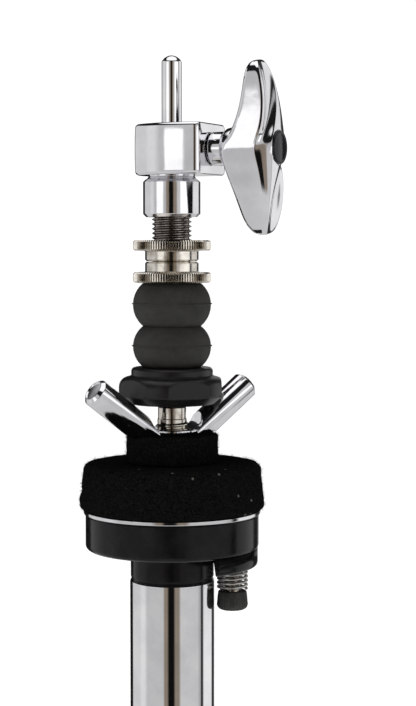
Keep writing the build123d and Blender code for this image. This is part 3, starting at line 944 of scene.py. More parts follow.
@dataclass
class TubeAndSocket:
    """The upper tube, the black socket above it and the threaded post."""

    wall: float = 1.5
    rod_clearance: float = 3.6
    boss_radius: float = 10.5
    recess_depth: float = 6.6
    cup_wall: float = 2.5
    neck_length: float = 9.4
    neck_radius: float = 12.5
    spigot_bore: float = 6.5
    bushing_seat: float = 11.0
    lug_chord: float = 12.4
    lug_depth: float = 4.8
    lug_inset: float = 0.25
    post_pitch: float = 1.5
    post_thread_depth: float = 0.62
    post_bore: float = 3.3
    post_nose: float = 4.2
    post_nose_length: float = 3.8

    def build(self) -> None:
        """Build and dress every piece of the tube and the socket."""
        self.tube()
        self.socket()
        self.post()
        dress_node("post_lock_nut", NICKEL)
        dress_node("top_rod_bushing", WHITE_NYLON)
        dress_node("lug_thread_insert", BRASS)

    def tube(self) -> bpy.types.Object:
        """The chromed tube, with its ends turned clean."""
        low, high = heights("upper_tube")
        radius = half_width("upper_tube")
        bore = radius - self.wall
        profile = [(bore, high), (radius, high), (radius, low), (bore, low)]
        piece = turned("upper_tube_visual", profile, steps=160, edge=0.35)
        return dress(piece, TUBE_CHROME, Body.STAND, ["upper_tube"])

    def socket(self) -> bpy.types.Object:
        """Neck, cup and spigot as one turned shape, with the lug under the cup."""
        spigot_low, top = heights("seat_socket")
        tube_top = heights("upper_tube")[1]
        neck = self.neck_radius
        radius = half_width("seat_socket")
        bottom = tube_top + self.neck_length
        floor = top - self.recess_depth
        spigot = half_width("upper_tube") - self.wall
        seat = spigot_low + self.bushing_seat
        profile = [
            (self.rod_clearance, floor), (self.boss_radius, floor),
            (radius - self.cup_wall, floor), (radius - self.cup_wall, top),
            (radius - 0.5, top), (radius, top - 0.5),
            *arc((radius - 1.6, bottom + 1.6), (1.6, 1.6), 0, -90, 7),
            (neck + 0.9, bottom),
            *arc((neck + 0.9, bottom - 0.9), (-0.9, 0.9), 90, 0, 5),
            (neck, tube_top + 1.2), (neck - 0.25, tube_top + 0.9), (neck - 0.25, tube_top + 0.5),
            (neck, tube_top + 0.3), (neck - 0.2, tube_top),
            (spigot, tube_top), (spigot, spigot_low), (self.spigot_bore, spigot_low),
            (self.spigot_bore, seat), (self.rod_clearance, seat),
        ]
        cup = turned("socket_cup", profile, steps=160, edge=0.15)
        piece = join("seat_socket_visual", [cup, self.lug(bottom)])
        even_normals(piece)
        return dress(piece, GLOSS_BLACK, Body.STAND, ["seat_socket"])

    def lug(self, top: float) -> bpy.types.Object:
        """The part of a disc beyond a chord, under the cup, which holds the tilter screw."""
        radius = half_width("seat_socket") - self.lug_inset
        low = top - self.lug_depth
        rounding = ((1.1, low), (0.5, low + 0.15), (0.12, low + 0.5), (0.0, low + 1.0))
        rings = []
        for inset, height in (*rounding, (0.0, top + 0.3)):
            rim = radius - inset
            chord = self.lug_chord + inset * 0.6
            sweep = math.degrees(math.acos(chord / rim))
            round_side = arc((0, 0), (rim, rim), -sweep, sweep, 33)
            half_chord = rim * math.sin(math.radians(sweep))
            straight = [(chord, half_chord * s) for s in (0.6, 0.2, -0.2, -0.6)]
            rings.append([(x, y, height) for x, y in [*round_side, *straight]])
        return lofted("socket_lug", rings)

    def post(self) -> None:
        """The hollow post: a smooth core with its nose, and the thread on it."""
        low, high = heights("seat_post")
        crest = half_width("seat_post")
        depth, bore = self.post_thread_depth, self.post_bore
        root = crest - depth
        shoulder = high - self.post_nose_length
        core = turned(
            "seat_post_core",
            [
                (bore, high), (self.post_nose - 0.35, high), (self.post_nose, high - 0.35),
                (self.post_nose, shoulder + 0.2), (root, shoulder), (root, low), (bore, low),
            ],
            edge=0.1,
        )
        dress(core, NICKEL, Body.STAND, ["seat_post"])
        turns = math.floor((shoulder - 0.5 - low) / self.post_pitch) - 1
        thread_low = shoulder - 0.6 - (turns + 1) * self.post_pitch
        thread = helix_skin("seat_post_thread", crest, depth, self.post_pitch, thread_low, turns)
        dress(thread, NICKEL, Body.STAND)


@dataclass
class Tilter:
    """The screw, spring and knob that tilt the seat."""

    turns: float = 5.5
    wire: float = 0.45
    wire_sides: int = 12
    coil_steps: int = 36
    pitch: float = 1.0
    thread_depth: float = 0.4
    grip_teeth: int = 30
    flutes: Sequence[float] = (0.0, -0.10, -0.22, -0.10)

    def build(self) -> None:
        """Build and dress the tilter's pieces."""
        self.spring()
        self.screw()
        self.knob()

    def axis(self) -> Matrix:
        """The move from the origin to the screw's axis."""
        low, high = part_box("tilter_screw")
        return Matrix.Translation(((low.x + high.x) / 2, (low.y + high.y) / 2, 0.0))

    def spring(self) -> bpy.types.Object:
        """The coil spring, coiled at an even pitch with the wire's two ends closed; it rides on the
        stand.
        """
        low, high = heights("tilter_spring")
        radius = half_width("tilter_spring") - self.wire
        sides = self.wire_sides
        circle = arc((radius, low + self.wire), (self.wire, self.wire), 0, 360 / sides - 360, sides)
        edges = [(i, (i + 1) % sides) for i in range(sides)]
        piece = mesh_piece("tilter_spring_visual", [(r, 0.0, z) for r, z in circle], [], edges)
        screw = piece.modifiers.new("Coiling", "SCREW")
        screw.axis = "Z"
        screw.angle = TURN * self.turns
        screw.screw_offset = (high - low - 2 * self.wire) * MM
        screw.steps = round(self.coil_steps * self.turns)
        screw.render_steps = screw.steps
        screw.use_smooth_shade = True
        place(piece, self.axis())
        fill_open_ends(piece)
        dress(piece, SPRING_STEEL, Body.STAND, ["tilter_spring"])
        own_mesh(piece)
        return piece

    def screw(self) -> bpy.types.Object:
        """The tilter screw: core, domed tip and thread as one piece."""
        low, high = heights("tilter_screw")
        crest = half_width("tilter_screw")
        root = crest - self.thread_depth
        profile = [
            (0.0, high), (0.7, high - 0.05), (1.5, high - 0.35), (root, high - 1.0),
            (root, low), (0.0, low),
        ]
        core = turned("screw_core", profile, Closure.SOLID, steps=48, edge=0.0)
        turns = math.floor((high - low) / self.pitch) - 3
        thread = helix_skin(
            "screw_thread", crest, self.thread_depth, self.pitch, low + 0.6, turns, steps=32)
        piece = join("tilter_screw_visual", [core, thread])
        piece.data.transform(self.axis())
        return dress(piece, NICKEL, Body.TILTER, ["tilter_screw"])

    def knob(self) -> bpy.types.Object:
        """The small knob, fluted round its side."""
        low, high = heights("tilter_knob")
        radius = half_width("tilter_knob")
        profile = [
            (2.6, high), (4.0, high), (4.3, high - 0.3), (4.45, high - 1.4),
            (radius - 0.05, low + 2.2),
            *arc((radius - 1.7, low + 1.6), (1.7, 1.6), 0, -90, 6),
            (1.6, low), (1.2, low + 0.5), (0.05, low + 0.55), (0.05, low + 2.0), (2.6, low + 2.0),
        ]
        count = len(self.flutes)
        samples = count * self.grip_teeth
        azimuths = [TURN * i / samples for i in range(samples)]

        def fluted(azimuth: float, r: float, z: float) -> float:
            """The radius on the fluted side, and the profile's own radius elsewhere."""
            on_side = low + 1.0 < z < high - 0.3 and r > 4.0
            return r + (self.flutes[round(azimuth / TURN * samples) % count] if on_side else 0.0)

        piece = modulated("tilter_knob_visual", profile, azimuths, fluted)
        face_outwards(piece.data)
        piece.data.transform(self.axis())
        return dress(piece, KNOB_BLACK, Body.TILTER, ["tilter_knob"])


@dataclass
class CymbalSeat:
    """The chromed plate and the two felts that hold the bottom cymbal."""

    bore: float = 6.6
    large_top: float = 26.5
    small_bore_top: float = 0.2
    small_bore_bottom: float = 1.4
    mesh_step: float = 0.8
    large_fibres: int = 9000
    small_fibres: int = 4200
    nap_length: Point = (0.5, 1.5)
    nap_width: float = 0.085
    lumps: float = 0.34
    seed: int = 7

    def build(self) -> None:
        """Build and dress the plate and the felts."""
        self.plate()
        low, high = heights("large_felt")
        base, top = half_width("large_felt"), self.large_top
        large = self.felt(
            "large_felt_visual",
            [
                (self.bore, high), (top - 2.4, high),
                *arc((top - 2.0, high - 2.0), (2.0, 1.9), 80, 8, 7),
                (top + 0.3, high - 5.0), (top + 0.7, high - 9.0), (base, low + 3.0),
                *arc((base - 1.5, low + 1.6), (1.5, 1.5), 10, -80, 7),
                (self.bore, low),
            ],
        )
        self.finish_felt(large, "large_felt", Body.SEAT, self.large_fibres)
        low, high = heights("small_felt")
        radius = half_width("small_felt")
        small = self.felt(
            "small_felt_visual",
            [
                (self.bore + self.small_bore_top, high), (radius - 1.2, high),
                *arc((radius - 1.1, high - 1.1), (1.1, 1.1), 80, 5, 5),
                (radius + 0.05, high - 4.0), (radius, low + 0.6), (radius - 0.3, low),
                (self.bore + self.small_bore_bottom, low),
            ],
        )
        self.finish_felt(small, "small_felt", None, self.small_fibres)

    def plate(self) -> bpy.types.Object:
        """The pressed plate under the large felt."""
        low, high = heights("tilt_plate")
        radius = half_width("tilt_plate")
        profile = [(self.bore, high), (radius, high), (radius, low), (self.bore, low)]
        piece = turned("tilt_plate_visual", profile, steps=160, edge=0.3)
        return dress(piece, PLATE_CHROME, Body.SEAT, ["tilt_plate"])

    def felt(self, name: str, outline: Sequence[Point]) -> bpy.types.Object:
        """Turn a felt washer finely and give it the lumps of pressed wool.

        Args:
            name: The piece's name.
            outline: Its closed profile in millimetres.

        Returns:
            The washer, with its stack applied.
        """
        fine: list[Point] = []
        for (r, z), (next_r, next_z) in zip(outline, [*outline[1:], outline[0]]):
            parts = max(1, round(math.hypot(next_r - r, next_z - z) / self.mesh_step))
            fine += [
                (r + (next_r - r) * i / parts, z + (next_z - z) * i / parts) for i in range(parts)]
        piece = turned(name, fine, steps=180, edge=0.0)
        apply_stack(piece)
        for vertex in piece.data.vertices:
            where = vertex.co / MM
            lump = noise.fractal(where * 0.35, 0.9, 2.1, 4) * self.lumps
            radial = Vector((where.x, where.y, 0.0))
            if radial.length > self.bore + 0.5:
                sink = Vector((0, 0, min(lump, 0.0) * 0.4))
                vertex.co += (radial.normalized() * lump + sink) * MM
        return piece

    def nap(self, felt: bpy.types.Object, name: str, count: int) -> bpy.types.Object:
        """Scatter short bent fibres over a felt's surface.

        Args:
            felt: The finished washer.
            name: The nap's name.
            count: How many fibres.

        Returns:
            The fibres as one mesh of narrow blades.
        """
        dice = random.Random(self.seed + count)
        faces = [f for f in felt.data.polygons if math.hypot(*(f.center / MM).xy) > self.bore + 0.6]
        chosen = dice.choices(faces, weights=[f.area for f in faces], k=count)
        points: list[Vector] = []
        blades: list[tuple[int, int, int, int] | tuple[int, int, int]] = []
        for face in chosen:
            root = face.center / MM + Vector([dice.uniform(-0.3, 0.3) for _ in range(3)])
            lean = Vector([dice.gauss(0, 0.75) for _ in range(3)])
            way = (face.normal + lean).normalized()
            if way.dot(face.normal) < 0.15:
                way = (way + face.normal).normalized()
            length = dice.uniform(*self.nap_length)
            side = way.orthogonal().normalized() * self.nap_width / 2
            bend = Vector([dice.gauss(0, 0.35) for _ in range(3)]) * length
            start = root - face.normal * 0.35
            middle = start + way * length * 0.6
            end = middle + (way * 0.5 * length + bend * 0.6)
            first = len(points)
            points += [start - side, start + side, middle + side * 0.8, middle - side * 0.8, end]
            blades += [(first, first + 1, first + 2, first + 3), (first + 3, first + 2, first + 4)]
        return mesh_piece(name, points, blades)

    def finish_felt(
        self, felt: bpy.types.Object, node: str, body: Optional[Body], fibres: int
    ) -> None:
        """Dress a felt and its nap; a felt with no body of its own is left fixed in place.

        Args:
            felt: The finished washer.
            node: The CAD node that it stands for.
            body: The body it rides on, or None to leave it fixed in place, on neither the stand nor
                the seat.
            fibres: How many fibres its nap has.
        """
        nap = self.nap(felt, f"{node}_nap", fibres)
        for piece in (felt, nap):
            piece.data.materials.clear()
            piece.data.materials.append(FELT.material())
            if body is not None:
                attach(piece, body.value)
            else:
                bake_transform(piece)
            LOG.info("%s made", piece.name)
        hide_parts(node)


@dataclass
class WingNut:
    """The V-shaped wing nut over the small felt."""

    rise: float = 37.0
    yaw: float = 31.0
    reach: float = 26.8
    radius: float = 4.25
    axis_drop: float = 6.3
    scoop: float = 9.3
    scoop_bend: float = 2.2
    hub_radius: float = 7.75
    hub_thickness: float = 1.4
    sleeve_radius: float = 6.5
    sleeve_depth: float = 6.0
    bore: float = 5.06

    def base(self) -> float:
        """The height of the hub's underside, in millimetres."""
        return heights("small_felt")[1] + 0.1

    def bar(self, turn: float) -> bpy.types.Object:
        """One round wing with a bevelled, slightly hollow end.

        Args:
            turn: Its azimuth in degrees.

        Returns:
            The wing, in place.
        """
        length = self.reach / math.cos(math.radians(self.rise))
        r = self.radius
        profile = [
            (0.0, length - 0.45), (r - 1.5, length - 0.4), (r - 1.15, length),
            (r - 0.95, length), (r, length - 0.95), (r, 3.0), (0.0, 3.0),
        ]
        piece = turned("wing", profile, Closure.SOLID, steps=64, edge=0.12)
        stand = Matrix.Translation((0, 0, (self.base() - self.axis_drop) * MM))
        tip = Matrix.Rotation(math.radians(90 - self.rise), 4, "Y")
        return place(piece, stand @ Matrix.Rotation(math.radians(turn), 4, "Z") @ tip)

    def build(self) -> None:
        """Build the nut from its wings, hub and sleeve, then scoop and bore it."""
        base = self.base()
        nut = self.bar(self.yaw)
        cut(nut, self.bar(self.yaw + 180), Combine.ADD)
        cut(nut, plug("below", 40.0, base, base - 30, steps=32), Combine.TAKE_AWAY)
        top, bend = base + self.hub_thickness, self.scoop_bend
        wall = self.scoop
        scoop = [
            (0.0, top + 20), (wall, top + 20), (wall, top + bend),
            *arc((wall - bend, top + bend), (bend, bend), -8, -90, 8), (0.0, top),
        ]
        cut(nut, turned("scoop", scoop, Closure.SOLID, steps=64, edge=0.0), Combine.TAKE_AWAY)
        rim, sleeve, sleeve_end = self.hub_radius, self.sleeve_radius, base - self.sleeve_depth
        hub = [
            (0.0, top - 0.45), (5.6, top - 0.4), (6.6, top - 0.1), (rim - 0.2, top + 0.05),
            (rim + 0.05, top - 0.25), (rim, base),
            (sleeve, base), (sleeve, sleeve_end), (0.0, sleeve_end),
        ]
        cut(nut, turned("hub", hub, Closure.SOLID, steps=96, edge=0.0), Combine.ADD)
        cut(nut, plug("hole", self.bore, base + 20, base - 20), Combine.TAKE_AWAY)
        nut.name = "wing_nut_visual"
        face_outwards(nut.data, 0.01)
        smooth(nut)
        soften(nut, 0.22, 3, 32)
        dress(nut, CAST_CHROME, Body.WING_NUT, ["wing_nut"])


@dataclass
class PullRod:
    """The rod that the pedal pulls, with its lock nut."""

    dome: float = 1.9
    thread_length: float = 11.0
    thread_radius: float = 2.95
    thread_depth: float = 0.38
    thread_pitch: float = 1.0
    thread_turns: int = 9
    relief: float = 5.0

    def build(self) -> None:
        """Build and dress the rod and its thread."""
        low, high = heights("pull_rod")
        radius = half_width("pull_rod")
        sphere = (radius ** 2 + self.dome ** 2) / (2 * self.dome)
        edge_angle = math.degrees(math.asin(radius / sphere))
        cap = arc((0.0, high - sphere), (sphere, sphere), 90, 90 - edge_angle, 9)
        root = self.thread_radius - self.thread_depth
        shank = low + self.thread_length + self.relief
        profile = [
            (0.0, high), *cap[1:], (radius, shank), (root, shank), (root, low + 0.4),
            (root - 0.4, low), (0.0, low),
        ]
        rod = turned("pull_rod_visual", profile, Closure.SOLID, 96, 0.0)
        soften(rod, 0.3, 3, 24)
        dress(rod, ROD_CHROME, Body.ROD, ["pull_rod"])
        thread = helix_skin(
            "pull_rod_thread", self.thread_radius, self.thread_depth, self.thread_pitch,
            low + 0.5, self.thread_turns, steps=40)
        dress(thread, NICKEL, Body.ROD)
        dress_node("rod_lock_nut", NICKEL)


@dataclass
class Clutch:
    """The clamp block with its sleeve, nuts and cushions."""

    yaw: float = 26.4
    block_radius: float = 11.0
    block_face: float = 13.4
    block_half_height: float = 7.55
    block_edge: float = 1.2
    block_corner: float = 2.0
    crown: float = 0.12
    side_bow: float = 24.0
    side_steps: int = 18
    widest_at: float = 5.2
    bolt_counterbore: float = 4.7
    bolt_bore: float = 4.1
    rod_bore: float = 3.08
    collar_radius: float = 8.55
    collar_height: float = 11.0
    sleeve_crest: float = 5.9
    sleeve_seat: float = 9.0
    sleeve_bore: float = 3.2
    sleeve_pitch: float = 1.36
    sleeve_thread_depth: float = 0.72
    nut_hub: float = 8.0
    nut_bore: float = 5.96
    flange_height: float = 3.2
    flange_edge: float = 0.5
    knurls: int = 90
    tooth: Sequence[float] = (0.0, -0.22, -0.95, -0.22)
    cushion_end: float = 8.65
    cushion_bore: float = 6.1
    cushion_seam: float = 0.52
    cushion_flash: float = 0.38
    bottom_radius: float = 15.9
    bottom_collar: float = 12.2
    bottom_shoulder: float = 8.2
    bottom_bore: float = 6.3
    flats: int = 5
    flat_distance: float = 14.6
    flat_azimuth: float = -70.5

    def build(self) -> None:
        """Build and dress every piece of the clutch."""
        self.block()
        self.sleeve()
        self.lock_nut("upper_lock_nut", Body.UPPER_LOCK_NUT, True)
        self.lock_nut("lower_lock_nut", Body.LOWER_LOCK_NUT, False)
        self.cushion("upper_cushion")
        self.cushion("lower_cushion")
        self.bottom_nut()
        dress_node("bottom_nut_insert", BRASS)
        dress_node("clamp_shoe", BRASS)

    def plan(self, inset: float, height: float) -> list[tuple[float, float, float]]:
        """The block's outline at one height, round at the back and flat under the bolt.

        Args:
            inset: How far the outline stands in from the block's widest one.
            height: Height in millimetres.

        Returns:
            The outline's points.
        """
        r, face = self.block_radius - inset, self.block_face - 0.4 * inset
        corner = self.block_corner
        run = face - corner
        bow = self.side_bow

        def drop(x: float) -> float:
            """How far the bowed side stands in at a distance along the bolt."""
            return bow - math.sqrt(bow ** 2 - (x - self.widest_at) ** 2)

        lean = math.degrees(math.asin((run - self.widest_at) / bow))
        across, rise = self.widest_at, bow - r
        share = (r ** 2 + across ** 2 + rise ** 2 - bow ** 2) / 2
        square, linear = 1 + (across / rise) ** 2, -2 * share * across / rise ** 2
        root = math.sqrt(linear ** 2 - 4 * square * ((share / rise) ** 2 - r ** 2))
        start = (-linear - root) / (2 * square)
        sweep = math.degrees(math.acos(-start / r))
        back = arc((0.0, 0.0), (r, r), 180 - sweep, 180 + sweep, 19)
        end = r - drop(run) - corner
        lower = arc((run, -end), (corner, corner), lean - 90, 0, 8)
        upper = arc((run, end), (corner, corner), 0, 90 - lean, 8)
        count = self.side_steps
        steps = [start + (run - start) * i / count for i in range(1, count)]
        low_side = [(x, drop(x) - r) for x in steps]
        high_side = [(x, r - drop(x)) for x in reversed(steps)]
        end_low = [(face, end * s) for s in (-0.66, -0.33, 0.0, 0.33, 0.66)]
        return [(x, y, height) for x, y in [*back, *low_side, *lower, *end_low, *upper, *high_side]]

    def block(self) -> bpy.types.Object:
        """The clamp block, crowned and bored, over its turned collar."""
        top = heights("clutch_block")[1]
        half, edge = self.block_half_height, self.block_edge
        middle = top - half
        levels = (-6.35, -4.8, -3.2, -1.6, 0.0, 1.6, 3.2, 4.8, 6.35)
        side = [(self.crown * (z / (half - edge)) ** 2, z) for z in levels]
        lower = [
            (self.crown + edge * (1 - math.cos(a)), -half + edge * (1 - math.sin(a)))
            for a in (math.radians(d) for d in (90, 75, 60, 45, 30, 15))
        ]
        rows = [*lower, *side, *[(inset, -z) for inset, z in reversed(lower)]]
        block = lofted("block", [self.plan(inset, middle + z) for inset, z in rows])
        bolt = Matrix.Translation((0, 0, middle * MM)) @ Z_TO_X
        wide, narrow = self.bolt_counterbore, self.bolt_bore
        drill = [(0.0, 20.0), (wide, 20.0), (wide, 12.6), (narrow, 12.2), (narrow, 0.0), (0.0, 0.0)]
        bolt_hole = turned("bolt_hole", drill, Closure.SOLID, steps=64, edge=0.0)
        cut(block, place(bolt_hole, bolt), Combine.TAKE_AWAY)
        cut(block, plug("rod_hole", self.rod_bore, top + 5, top - 30, steps=48), Combine.TAKE_AWAY)
        block.data.transform(Matrix.Rotation(math.radians(-self.yaw), 4, "Z"))
        collar = self.collar()
        piece = join("clutch_block_visual", [block, collar])
        smooth(piece)
        soften(piece, 0.15, 2, 40)
        even_normals(piece)
        return dress(piece, CAST_CHROME, Body.CLUTCH, ["clutch_block"])

    def collar(self) -> bpy.types.Object:
        """The turned collar under the block, with a waist where they meet."""
        low = heights("clutch_block")[0]
        r, crest, bore = self.collar_radius, self.sleeve_crest, self.sleeve_bore
        high, seat = low + self.collar_height, low + self.sleeve_seat
        profile = [
            (bore, high + 2.6), (r - 1.6, high + 2.6), (r - 1.6, high + 1.0),
            (r - 1.2, high + 0.35), (r - 0.6, high), (r, high - 0.6),
            (r, low + 0.9), (r - 0.9, low), (crest, low), (crest, seat), (bore, seat),
        ]
        return turned("collar", profile, steps=96, edge=0.12)

    def sleeve(self) -> None:
        """The threaded sleeve: a bored core and the thread on it."""
        low, high = heights("clutch_sleeve")
        crest = half_width("clutch_sleeve")
        depth, bore = self.sleeve_thread_depth, self.sleeve_bore
        root = crest - depth
        core = turned(
            "clutch_sleeve_core", [(bore, high), (root, high), (root, low), (bore, low)], edge=0.1)
        dress(core, DARK_NICKEL, Body.CLUTCH, ["clutch_sleeve"])
        turns = math.floor((high - low) / self.sleeve_pitch) - 1
        thread = helix_skin(
            "clutch_sleeve_thread", crest, depth, self.sleeve_pitch, low + 0.1, turns, steps=40)
        dress(thread, DARK_NICKEL, Body.CLUTCH)

    def lock_nut(self, node: str, body: Body, flange_up: bool) -> bpy.types.Object:
        """A lock nut with a straight knurl round its flange.

        Args:
            node: The CAD node that it stands for.
            body: The body it rides on.
            flange_up: Whether the flange is at the upper end.

        Returns:
            The nut.
        """
        low, high = heights(node)
        flange, hub, bore, edge = half_width(node), self.nut_hub, self.nut_bore, self.flange_edge
        under = high - self.flange_height
        side = [
            (bore, high), (flange - edge - 0.4, high), (flange - edge, high - 0.05),
            (flange, high - edge), (flange, under + edge), (flange - edge, under + 0.05),
            (hub + 0.3, under), (hub, under - 0.2),
            (hub, low + 0.5), (hub - 0.45, low + 0.05), (bore, low),
        ]
        if not flange_up:
            side = [(r, low + high - z) for r, z in reversed(side)]
        count = len(self.tooth)
        samples = count * self.knurls
        azimuths = [TURN * i / samples for i in range(samples)]

        def knurled(azimuth: float, r: float, z: float) -> float:
            """The radius in the knurl, and the profile's own radius off the flange."""
            on_flange = r > flange - edge - 0.1
            return r + (self.tooth[round(azimuth / TURN * samples) % count] if on_flange else 0.0)

        piece = modulated(f"{node}_visual", side, azimuths, knurled)
        face_outwards(piece.data)
        piece.data.set_sharp_from_angle(angle=math.radians(24))
        return dress(piece, NICKEL, body, [node])

    def cushion(self, node: str) -> bpy.types.Object:
        """A ball-shaped cushion with the mould's flash round its middle.

        Args:
            node: The CAD node that it stands for.

        Returns:
            The cushion.
        """
        low, high = heights(node)
        end, middle, bore = self.cushion_end, half_width(node), self.cushion_bore
        half = (high - low) / 2
        sphere = (half ** 2 + (middle - end) ** 2) / (2 * (middle - end))
        limit = math.degrees(math.asin(half / sphere))
        line = low + (high - low) * self.cushion_seam
        ball = arc((middle - sphere, (low + high) / 2), (sphere, sphere), limit, -limit, 33)
        side = [(r, z) for r, z in ball if abs(z - line) > 0.35]
        above = [p for p in side if p[1] > line]
        below = [p for p in side if p[1] < line]
        lip = self.cushion_flash
        flash = [
            (middle - 0.02, line + 0.22), (middle + lip * 0.8, line + 0.12), (middle + lip, line),
            (middle + lip * 0.8, line - 0.12), (middle - 0.02, line - 0.22),
        ]
        profile = [
            (bore, high), (end - 0.5, high), *above, *flash, *below, (end - 0.5, low), (bore, low)]
        piece = turned(f"{node}_visual", profile, steps=128, edge=0.0)
        return dress(piece, RUBBER, Body.CLUTCH, [node])

    def bottom_nut(self) -> bpy.types.Object:
        """The moulded bottom nut: domed shoulder, collar and five flats."""
        low, high = heights("bottom_nut")
        radius, collar, bore = self.bottom_radius, self.bottom_collar, self.bottom_bore
        shoulder = low + self.bottom_shoulder
        profile = [
            (bore, high), *arc((collar - 1.1, high - 1.1), (1.1, 1.1), 90, 0, 5),
            *arc((collar + 0.5, shoulder + 0.6), (-0.5, -0.5), 0, 80, 4),
            *arc((radius - 2.9, shoulder - 3.2), (2.9, 3.1), 84, 4, 10),
            (radius, shoulder - 4.0), (radius, low + 2.9),
            (radius - 0.3, low + 2.3), (13.0, low + 0.3), (12.5, low), (bore, low),
        ]
        half_flat = math.acos(self.flat_distance / radius)
        step = TURN / self.flats
        azimuths = []
        for index in range(self.flats):
            centre = math.radians(self.flat_azimuth) + index * step
            azimuths += [centre - half_flat + 2 * half_flat * i / 14 for i in range(14)]
            corner = step - 2 * half_flat
            azimuths += [centre + half_flat + corner * i / 8 for i in range(8)]

        def flattened(azimuth: float, r: float, z: float) -> float:
            """The profile's radius, or the nearest flat's distance where that is less."""
            away = (azimuth - math.radians(self.flat_azimuth) + step / 2) % step - step / 2
            return min(r, self.flat_distance / math.cos(away))

        piece = modulated("bottom_nut_visual", profile, azimuths, flattened)
        face_outwards(piece.data)
        soften(piece, 0.16, 2, 14)
        return dress(piece, SATIN_BLACK, Body.BOTTOM_NUT, ["bottom_nut"])


@dataclass(frozen=True)
class WingStation:
    """The handle's shape at one distance out along the upper wing, on its two sides.

    The near side faces the player and has a rim and a hollow; the far side rolls off.
    """

    along: float
    half_width: float
    back_near: float
    back_far: float
    rim: float
    far_edge: float
    ridge_across: float
    ridge: float
    hollow: float

    def far_side(self) -> list[Point]:
        """Points across and along the bolt, from the ridge to the far edge."""
        share = min(1.0, self.along / 14.0)
        w, edge, rise = self.half_width, self.far_edge, self.ridge - self.far_edge
        return [
            (w - 2.9 + 1.8 * share, self.ridge - 0.05), (w - 1.7 + 1.0 * share, edge + 0.72 * rise),
            (w - 0.8 + 0.5 * share, edge + 0.35 * rise), (w - 0.05, edge), (w, edge - 0.8),
        ]

    def near_side(self) -> list[Point]:
        """Points across and along the bolt, from the near edge to the ridge."""
        w = self.half_width
        plain = self.far_side()[::-1]
        rim_width = min(1.9, 0.5 * w)
        inner = w - rim_width
        shaped = [
            (w, self.rim - 0.7), (w - 0.3, self.rim), (inner, self.rim - 0.05),
            ((inner + self.ridge_across) / 2, min(self.rim, self.ridge) - self.hollow),
            (self.ridge_across, self.ridge),
        ]
        share = min(1.0, self.along / 7.0)
        share = share * share * (3 - 2 * share)
        return [
            (p[0] + (q[0] - p[0]) * share, p[1] + (q[1] - p[1]) * share)
            for p, q in zip(plain, shaped)
        ]

    def ring(self) -> list[Point]:
        """The whole section, as points across and along the bolt, near side first."""
        near, far = self.near_side(), self.far_side()
        w, back_near, back_far = self.half_width, self.back_near, self.back_far
        swell = 0.6 * max(0.0, 1 - self.along / 18.0)
        middle = ((near[-1][0] - far[0][0]) / 2, max(near[-1][1], far[0][1]) + swell)
        back = [
            (-w, back_far + 0.9), (-w + 0.7, back_far), (0.0, (back_near + back_far) / 2),
            (w - 0.7, back_near), (w, back_near + 0.9),
        ]
        return [*near, middle, *[(-across, front) for across, front in far], *back]


